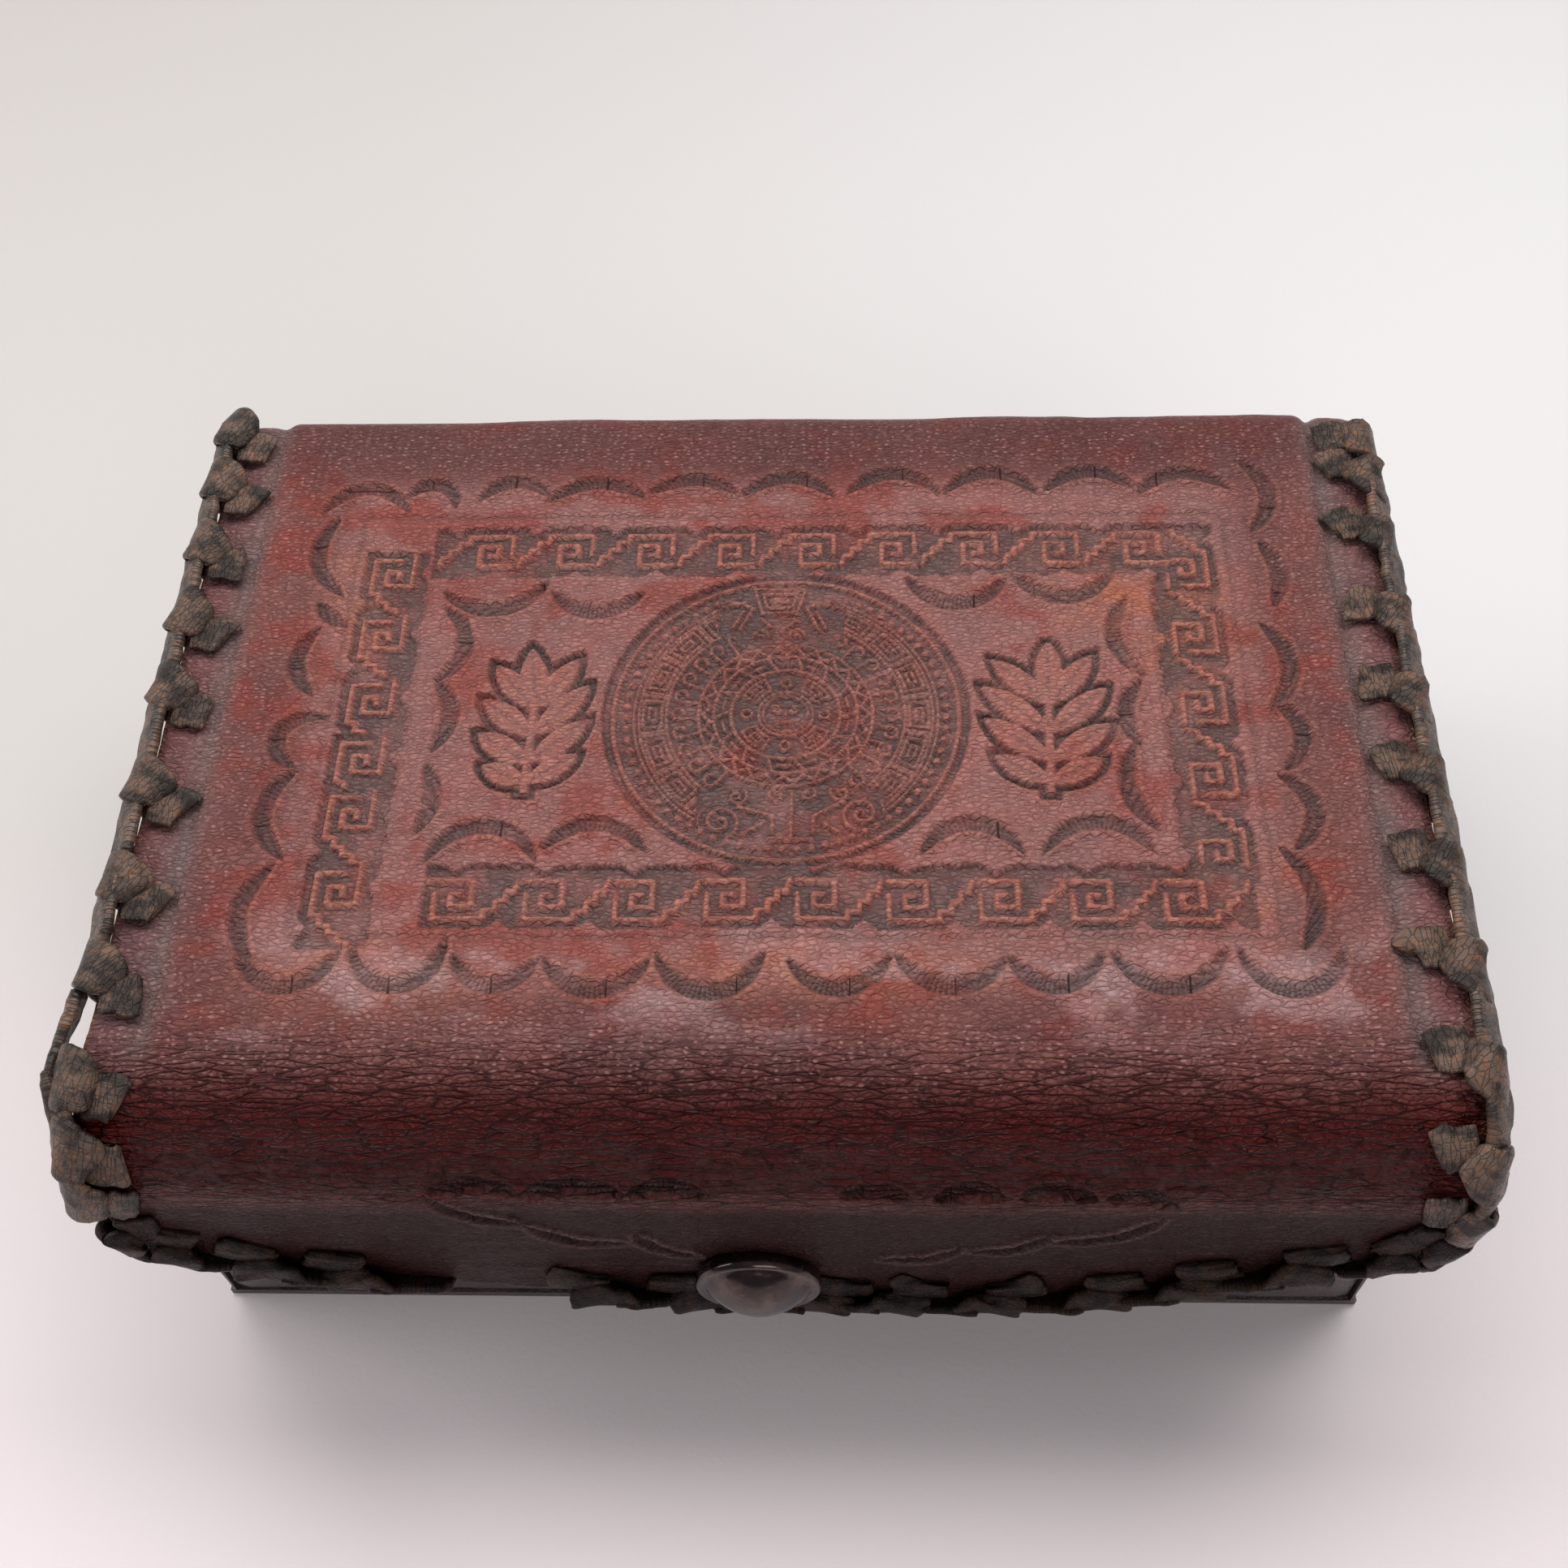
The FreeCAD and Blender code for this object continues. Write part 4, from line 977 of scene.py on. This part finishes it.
def hide_data(u, v, t):
    """What the hide's material reads at each point."""
    crease = ramp(v, DROP_V - 3, DROP_V + 4) * (1 - ramp(v, -56, -44))
    tooled = ramp(72 - np.abs(u), 0, 4) * ramp(47 - np.abs(v), 0, 3)
    margin = (1 - tooled) * ramp(v, -60, -50) * (1 - 0.8 * ramp(v, 50, 60))
    return {
        "tint": leather_colour(u, v, t), "dye": t.dye, "crease": crease,
        "hatch": t.hatch, "teeth": t.teeth, "margin": margin,
    }


def to_lip(v_rows, columns, rows, lift=0.0):
    """A sheet's u and v from rows of v over the lid, then rows more down the flap to its lip."""
    bend_v = DROP_V - 2
    lip_v = Z_TO_V + edge_z(columns) + lift
    flap = bend_v + (lip_v - bend_v)[None] * np.linspace(0, 1, rows + 1)[1:, None]
    v = np.concatenate([np.repeat(v_rows[:, None], len(columns), 1), flap])
    return np.repeat(columns[None], len(v), 0), v


def lid_hide():
    """Hide from the hinge over the lid and the bolster to the flap's lip."""
    v_rows = runs((JOIN_V, 46, 4), (46, 26, 66), (26, -26, 260), (-26, -46, 66), (-46, DROP_V, 72),
                  (DROP_V, DROP_V - 2, 4))
    u, v = to_lip(v_rows, COLUMNS, 80)
    t = tool(u, v)
    h = leather_shape(u, v) + TOOLING_DEPTH * t.h
    piece = slab("tooled_hide", u, v, h, -HIDE, HIDE_LEATHER, stride=8, data=hide_data(u, v, t))
    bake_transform(piece)
    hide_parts("lid_cover", "flap_leather")


def back_hide():
    """Hide round the back top corner, where it is the hinge, and down the back to the foot."""
    foot_v = CORNER_V + CORNER_R * math.pi / 2 + 65 - 0.3
    v_rows = runs((JOIN_V, CORNER_V, 16), (CORNER_V, CORNER_V + 6.4, 20), (CORNER_V + 6.4, foot_v, 100))
    full = runs((-85.5, 85.5, 344))
    width = 85.5 - 1.5 * ramp(v_rows, CORNER_V + 6, CORNER_V + 14)
    u = full[None] / 85.5 * width[:, None]
    v = np.repeat(v_rows[:, None], len(full), 1)
    t = Tooling(u, v)
    h = leather_shape(u, v)
    down = ramp(v, CORNER_V + 4, CORNER_V + 12)
    h = h * (1 - 0.5 * down) + 0.06 * noise(u / 9, v / 1.3, 48) * bump(v - CORNER_V - 4, 6)
    piece = slab("hinge_and_back_hide", u, v, h, -HIDE, HIDE_LEATHER, stride=8, data=hide_data(u, v, t))
    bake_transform(piece)
    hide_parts("hinge_strip", "back_leather")


def inner_leather():
    """Inner leather of the lid and flap, drawn over the lid's board."""
    columns = runs((-85.4, -80, 9), (-80, -77, 12), (-77, 77, 120), (77, 80, 12), (80, 85.4, 9))
    v_rows = runs((53, 52, 4), (52, -50, 80), (-50, -54, 16), (-54, DROP_V - 2, 34))
    u, v = to_lip(v_rows, columns, 30, 0.1)
    panel = np.minimum(78.9 - np.abs(u), v + 51.6)
    depth = 3.2 + 2.75 * (1 - edge_drop(panel, 1.0))
    depth += 0.06 * noise(u / 5, v / 5, 62) + 0.03 * noise(u / 1.5, v / 1.5, 63)
    piece = slab("lid_inner_leather", u, v, -depth, -HIDE, INNER_LEATHER)
    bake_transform(piece)
    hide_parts("lid_lining", "flap_lining", "lid_board")


# ---- lacing ----------------------------------------------------------------------------------

def side_edge(sign, v0):
    """Edge coordinates at a stitch on the lid's side: along runs forward, out from the leather."""
    def to_case(along, out, up):
        return place(sign * (LEATHER_HALF + out), v0 - along, up)
    return to_case


def lip_edge(x0, heading):
    """Edge coordinates at a stitch on the flap's lip. heading is 1 where along runs to +X."""
    edge = curve_through(FLAP_EDGE, 12)
    k = int(np.argmin(np.abs(edge[:, 0] - x0)))
    tangent = edge[min(k + 3, len(edge) - 1)] - edge[max(k - 3, 0)]
    tangent = tangent / np.linalg.norm(tangent) * (-heading)
    outward = np.array([tangent[1], -tangent[0]]) * heading
    if outward[1] > 0 and abs(outward[1]) > abs(outward[0]):
        outward = -outward
    if abs(x0) > 83 and outward[0] * x0 < 0:
        outward = -outward
    origin = edge[k]

    def to_case(along, out, up):
        p = origin + np.asarray(along)[..., None] * tangent + np.asarray(out)[..., None] * outward
        return np.stack([p[..., 0], FLAP_FACE - up + 0 * p[..., 0], p[..., 1]], -1)
    return to_case


def stitch(lace, to_case, seed, lead, gap=11.5, strand=True, inset=2.4, size=1.0):
    """One stitch: a flat tile at its hole, the strap round the edge, and the strand to the next stitch.

    The strap leaves the tile towards lead, which is negative where it slants back.
    """
    rng = np.random.default_rng(seed)
    j = rng.uniform(-0.35, 0.35, 9)
    tile = [(0.3 + j[0], -6.2, 0.0), (0.2, -5.4 + j[1], 0.5), (0.0, -3.4, 0.7), (-0.2, -1.2, 0.5)]
    lace.strip(to_case, np.array(tile), size * np.array([5.4, 5.9, 5.8, 5.6]), [0.9, 1.0, 1.0, 0.9],
               sides=16, seed=seed, square=0.22, crown=0.04)
    strap = [
        (0.28 * lead + j[2], -inset - 0.6, 0.75), (0.45 * lead, 0.6 - inset + j[3], 1.45),
        (0.70 * lead, -0.3, 1.75), (1.00 * lead + j[4], 1.3, 1.0), (1.15 * lead, 2.3, -0.9),
        (1.10 * lead + j[5], 2.0, -2.9), (0.9 * lead, 0.6, -4.2), (0.5 * lead, -2.4, -4.2),
        (0.0, -5.2, -3.7),
    ]
    widths = size * np.array([4.0, 5.8, 7.0, 7.4, 7.0, 6.0, 5.2, 4.8, 4.2])
    thicks = [0.9, 1.2, 1.35, 1.3, 1.2, 1.1, 1.0, 1.0, 0.8]
    lace.strip(to_case, np.array(strap), widths, thicks, sides=20, steps=5, seed=seed + 500,
               square=0.24, crown=0.10)
    if strand:
        start, end = lead + 0.2, lead + gap - 0.2
        run = [(start, 1.2, 0.5), (start + 2.4, 1.3 + 0.2 * j[6], 0.2), ((start + end) / 2 + 1, 1.3, -0.4),
               (end - 1.8, 1.2, -0.9), (end, 0.8, -1.0)]
        widths = size * np.array([4.6, 5.2, 5.2, 4.8, 3.8])
        lace.strip(to_case, np.array(run), widths, [1.3, 1.6, 1.7, 1.7, 1.4], sides=14, steps=5,
                   over=(0, 0.8, 0.7), seed=seed + 900, square=0.35, crown=0.1)


# Places of the stitches: v down each side from the back, x along the lip from each end.
# One stitch is missing left of the snap, where the lip is torn, so a seed is left out for it.
RIGHT_STITCHES = [45.3, 33.5, 18.6, 4.6, -8.6, -22.6, -37.0, -50.8, -62.6, -72.4]
LEFT_STITCHES = [50.4, 39.6, 26.8, 13.6, 0.2, -15.8, -30.8, -44.2, -57.5, -66.0, -73.0]
LIP_STITCHES_RIGHT = [84.9, 80.5, 70.5, 58.0, 45.5, 32.0, 19.0, 8.5]
LIP_STITCHES_LEFT = [-84.9, -80.6, -71.0, -59.5, -27.0, -14.5]
LEFT_BREAK = 7                  # the strand has parted after this left stitch
END_STITCHES = 2                # smaller stitches at each end of the lip


def laces():
    """Lacing down both sides and round the lip, stitch by stitch."""
    right, left, lip = Bundle(), Bundle(), Bundle()
    gaps = -np.diff(RIGHT_STITCHES + [RIGHT_STITCHES[-1] - 6.0])
    for i, (v0, gap) in enumerate(zip(RIGHT_STITCHES, gaps)):
        stitch(right, side_edge(1, v0), 100 + i, 3.4, gap, inset=1.9)
    stitch(right, side_edge(1, 51.0), 99, 1.2, strand=False, inset=1.9)
    gaps = -np.diff(LEFT_STITCHES + [LEFT_STITCHES[-1] - 5.0])
    for i, (v0, gap) in enumerate(zip(LEFT_STITCHES, gaps)):
        lead = -4.4 if i <= LEFT_BREAK else -2.5
        stitch(left, side_edge(-1, v0), 200 + i, lead, gap, strand=i != LEFT_BREAK, inset=2.6)
    frayed = side_edge(-1, LEFT_STITCHES[LEFT_BREAK])
    left.strip(frayed, np.array([(-1.5, 1.8, -0.6), (3.0, 2.6, -1.2), (7.5, 3.4, -1.6), (11.0, 3.9, -1.0)]),
               [3.2, 3.4, 3.0, 1.6], [1.8, 1.7, 1.4, 0.8], over=(0, 1, 0.25), seed=301)
    frayed = side_edge(-1, LEFT_STITCHES[LEFT_BREAK + 1])
    left.strip(frayed, np.array([(-3.4, 4.2, -0.6), (-1.8, 3.6, -1.2), (1.5, 2.6, -1.4), (5.0, 1.8, -1.0)]),
               [1.4, 2.8, 3.4, 3.0], [0.9, 1.5, 1.8, 1.6], over=(0, 1, 0.25), seed=302)
    for xs, heading, seeds in (
        (LIP_STITCHES_RIGHT, -1, range(400, 408)),
        (LIP_STITCHES_LEFT, 1, (430, 431, 432, 433, 435, 436)),
    ):
        for i, (x0, seed) in enumerate(zip(xs, seeds)):
            lead, gap, size = (3.0, 8.5, 0.95) if i < END_STITCHES else (4.4, 12.5, 1.35)
            stitch(lip, lip_edge(x0, heading), seed, lead, gap, inset=2.2, size=size)
    for bundle, name, node, body in ((right, "right_lace", "right_lacing", "lid"),
                                     (left, "left_lace", "left_lacing", "lid"),
                                     (lip, "lip_lace", "flap_lacing", "flap")):
        piece = bundle.build(name, SHADED_LIP_LACE if bundle is lip else LACE)
        stands_for(piece, body, "lace", node)


# ---- snap ------------------------------------------------------------------------------------

def lathe(name, profile, centre, material, steps=96):
    """A turned piece from (radius, depth) points, on an axis along Y. Depth runs to +Y."""
    profile = np.asarray(profile, float)
    turn = np.linspace(0, 2 * math.pi, steps, endpoint=False)
    rings = np.stack([
        centre[0] + profile[:, 0, None] * np.cos(turn)[None],
        profile[:, 1, None] + 0 * turn[None],
        centre[1] + profile[:, 0, None] * np.sin(turn)[None],
    ], -1)
    n = len(profile)
    grid = np.arange(n * steps).reshape(n, steps)
    turned = np.roll(grid, -1, 1)
    quads = np.stack([grid[:-1], grid[1:], turned[1:], turned[:-1]], -1).reshape(-1, 4)
    return make_mesh(name, rings.reshape(-1, 3), [quads, grid[0], grid[-1][::-1]], material)


def snap_cap():
    """Domed cap with a rolled rim."""
    dome = [(r, -65.7 + 2.9 * (r / 6.7) ** 2.1) for r in np.linspace(0.15, 6.7, 14)]
    roll = [(7.0, -62.35), (7.25, -62.25), (7.5, -62.45), (7.85, -62.6), (8.2, -62.4), (8.42, -61.95),
            (8.45, -61.4), (8.3, -60.8), (8.0, -60.3), (7.6, -60.05), (3.0, -60.02)]
    piece = lathe("snap_dome", dome + roll, SNAP, BRONZE)
    stands_for(piece, "flap", "snap_metal", "snap_cap")


# ---- base ------------------------------------------------------------------------------------

def rim_z(y):
    """Top of the base's side walls, which follow the lid's rounded front."""
    ahead = np.clip(-45.0 - y, 0, 9.4)
    return 54 + np.sqrt(9.5 ** 2 - ahead ** 2)


def wall_leather(name, node, along, start, end, top):
    """Leather over a base wall, its foot rounded and its top turned in over the board."""
    s = runs((start, end, 90))
    t = runs((0, 1, 36), (1, 2, 8), (2, 3, 6))
    u, v = np.meshgrid(s, t)

    def to_case(a, b, h):
        height = top(a)
        up = np.clip(b, 0, 1) * (height - 1.0 - 1.45) + 1.45
        corner = np.clip(b - 1, 0, 1) * math.pi / 2
        inward = np.clip(b - 2, 0, 1) * 2.5
        out = (1.0 + h) * np.cos(corner) - inward - 1.0
        rise = up + (1.0 + h) * np.sin(corner)
        return along(a, out, rise)

    near = np.minimum(u - start, end - u)
    soft = 0.45 * edge_drop(near, 1.2)
    foot = 0.35 * (1 - ramp(v, 0, 0.03))
    h = 0.16 * noise(u / 12, v * 4, 71) + 0.05 * noise(u / 3, v * 18, 72) - soft - foot - 0.1
    sheet = np.stack([u, np.minimum(v, 1) * 57 + np.maximum(v - 1, 0) * 2, 0 * u], -1)
    piece = slab(name, u, v, h, -0.95, BASE_LEATHER, to_case=to_case, data={"sheet": sheet})
    stands_for(piece, "base", "base_leather", node)


def base_walls():
    """Leather over the front wall and both side walls."""
    wall_leather("front_wall_leather", "front_leather",
                 lambda a, out, z: np.stack([a + 0 * z, -52.0 - out, z], -1), -82.6, 82.6,
                 lambda a: 60.42 + 0 * a)
    for sign, side in ((1, "right"), (-1, "left")):
        wall_leather(f"{side}_wall_leather", f"{side}_leather",
                     lambda a, out, z, sign=sign: np.stack([sign * (84.0 + out), a + 0 * z, z], -1),
                     -52.0, 64.3, rim_z)


def lining(name, node, origin, along, up, size, out, material):
    """A soft lining panel with rolled edges, standing out from its wall."""
    u, v = np.meshgrid(runs((0, size[0], 60)), runs((0, size[1], 30)))
    origin, along, up, out = (np.array(p, float) for p in (origin, along, up, out))

    def to_case(a, b, h):
        return origin + a[..., None] * along + b[..., None] * up + np.asarray(h)[..., None] * out

    near = np.minimum(np.minimum(u, size[0] - u), np.minimum(v, size[1] - v))
    h = 0.92 - 0.5 * edge_drop(near, 1.0)
    h += 0.06 * noise(u / 7, v / 6, 81) - 0.06
    piece = slab(name, u, v, h, 0.0 * u, material, to_case=to_case)
    stands_for(piece, "base", "lining_cloth", node)


def linings():
    """Velvet panels inside the four walls. The side panels follow the rim."""
    low, top = 3.5, 62.4
    front, back, tall = -47.6, 59.6, 58
    lining("front_velvet", "front_lining", (-80.4, -48.5, low), (1, 0, 0), (0, 0, 1), (160.8, 59.3 - low),
           (0, 1, 0), VELVET)
    lining("back_velvet", "back_lining", (-80.4, 60.5, low), (1, 0, 0), (0, 0, 1), (160.8, top - low),
           (0, -1, 0), VELVET)
    for sign, side in ((1, "right"), (-1, "left")):
        u, v = np.meshgrid(runs((front, back, 60)), runs((0, 1, 30)))

        def to_case(a, b, h, sign=sign):
            z = low + b * (rim_z(a) - 1.1 - low)
            return np.stack([sign * (80.5 - h), a, z], -1)

        near = np.minimum(np.minimum(u - front, back - u), (1 - v) * tall)
        h = 0.92 - 0.5 * edge_drop(near, 1.0) + 0.05 * noise(u / 7, v * 8, 82) - 0.05
        sheet = np.stack([u, v * tall, 0 * u], -1)
        piece = slab(f"{side}_velvet", u, v, h, 0.0 * u, VELVET, to_case=to_case, data={"sheet": sheet})
        stands_for(piece, "base", "lining_cloth", f"{side}_lining")


def floor_pad():
    """Padded floor: crowned, drawn in at its edges, with slight puckers."""
    half, front, back, board = 79.3, -47.3, 59.3, 3.5
    u, v = np.meshgrid(runs((-half, half, 160)), runs((front, back, 110)))
    near = np.minimum(half - np.abs(u), np.minimum(v - front, back - v))
    edge = 1 - edge_drop(near, 3.2)
    crown = ramp(near, 0, 30)
    pucker = 0.12 * noise(u / 2.4, v / 2.4, 91) * bump(near - 3, 3.5)
    h = 0.7 + 1.55 * edge + 0.75 * crown + pucker + 0.08 * noise(u / 14, v / 14, 92)

    def to_case(a, b, up):
        return np.stack([a, b, board + up + 0 * a], -1)

    piece = slab("floor_cushion", u, v, h, 0.0 * u, PAD_VELVET, to_case=to_case)
    stands_for(piece, "base", "padding", "floor_pad")


def cad_materials():
    """Gives the CAD nodes that stay their own materials."""
    finish = {
        "bottom_leather": BASE_LEATHER, "snap_stud": BRONZE, "snap_post": BRONZE, "snap_socket": BRONZE,
        "bottom_board": BOARD, "front_board": BOARD, "back_board": BOARD, "left_board": BOARD,
        "right_board": BOARD,
    }
    for name, material in finish.items():
        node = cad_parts[name]
        node.data.materials.clear()
        node.data.materials.append(material)
        if name == "bottom_leather":
            points = np.array([p.co for p in node.data.vertices], np.float32) / MM
            layer = node.data.attributes.new("sheet", "FLOAT_VECTOR", "POINT")
            layer.data.foreach_set("vector", points.ravel())


# ---- stage, light and camera -----------------------------------------------------------------

SWEEP_START, SWEEP_R = 700, 500  # the floor turns up behind the case
CAMERA_AT = Vector((10.6615, -149.5836, 278.3492)) * MM
CAMERA_FORWARD = Vector((-0.03907891, 0.56552667, -0.82380363))
CAMERA_RIGHT = Vector((0.99923595, 0.02162489, -0.03255582))
CAMERA_UP = Vector((0.000596526, 0.824446447, 0.565939661))
LENS = 43.67                    # on a 36 mm sensor


def stage():
    """Pale floor, sweeping up far behind."""
    material = backdrop()
    bend = [(SWEEP_START + SWEEP_R * math.sin(a), SWEEP_R - SWEEP_R * math.cos(a))
            for a in np.linspace(0.1, math.pi / 2, 16)]
    profile = [(-1500, 0), (SWEEP_START, 0)] + bend + [(SWEEP_START + SWEEP_R, 1800)]
    xs = np.linspace(-2200, 2200, 24)
    points = [(x, y, z) for y, z in profile for x in xs]
    grid = np.arange(len(points)).reshape(len(profile), len(xs))
    quads = np.stack([grid[:-1, :-1], grid[:-1, 1:], grid[1:, 1:], grid[1:, :-1]], -1).reshape(-1, 4)
    make_mesh("backdrop", points, quads, material)


def area_light(name, at, target, size, power, colour=(1, 1, 1)):
    """A rectangular light at a place in metres, facing target."""
    data = bpy.data.lights.new(name, "AREA")
    data.shape = "RECTANGLE"
    data.size, data.size_y = size
    data.energy = power
    data.color = colour
    light = bpy.data.objects.new(name, data)
    light.location = at
    light.rotation_euler = (Vector(target) - Vector(at)).to_track_quat("-Z", "Y").to_euler()
    bpy.context.scene.collection.objects.link(light)


def lights():
    """Soft light from above and behind, with weaker light from the left and the front."""
    world = bpy.data.worlds.new("studio")
    world.use_nodes = True
    background = world.node_tree.nodes["Background"]
    background.inputs["Color"].default_value = (0.93, 0.93, 0.97, 1)
    background.inputs["Strength"].default_value = 0.24
    bpy.context.scene.world = world
    area_light("back_softbox", (0.05, 0.46, 1.05), (0, 0.0, 0.05), (1.7, 0.62), 15.0, (1.0, 0.985, 0.975))
    area_light("left_window", (-1.1, 0.15, 0.65), (0, 0, 0.05), (0.6, 0.6), 5.0)
    area_light("front_fill", (0.3, -1.3, 1.0), (0, -0.2, 0.0), (0.9, 0.5), 5.0)


def camera():
    """Camera at the place and with the lens that were fitted to the photo."""
    data = bpy.data.cameras.new("camera")
    data.lens = LENS
    data.sensor_width = 36.0
    cam = bpy.data.objects.new("camera", data)
    turn = Matrix((CAMERA_RIGHT, CAMERA_UP, -CAMERA_FORWARD)).transposed().to_4x4()
    cam.matrix_world = Matrix.Translation(CAMERA_AT) @ turn
    bpy.context.scene.collection.objects.link(cam)
    bpy.context.scene.camera = cam


stage()
camera()
lights()
lid_hide()
back_hide()
inner_leather()
laces()
snap_cap()
base_walls()
linings()
floor_pad()
cad_materials()
bpy.context.scene.view_settings.view_transform = "Standard"
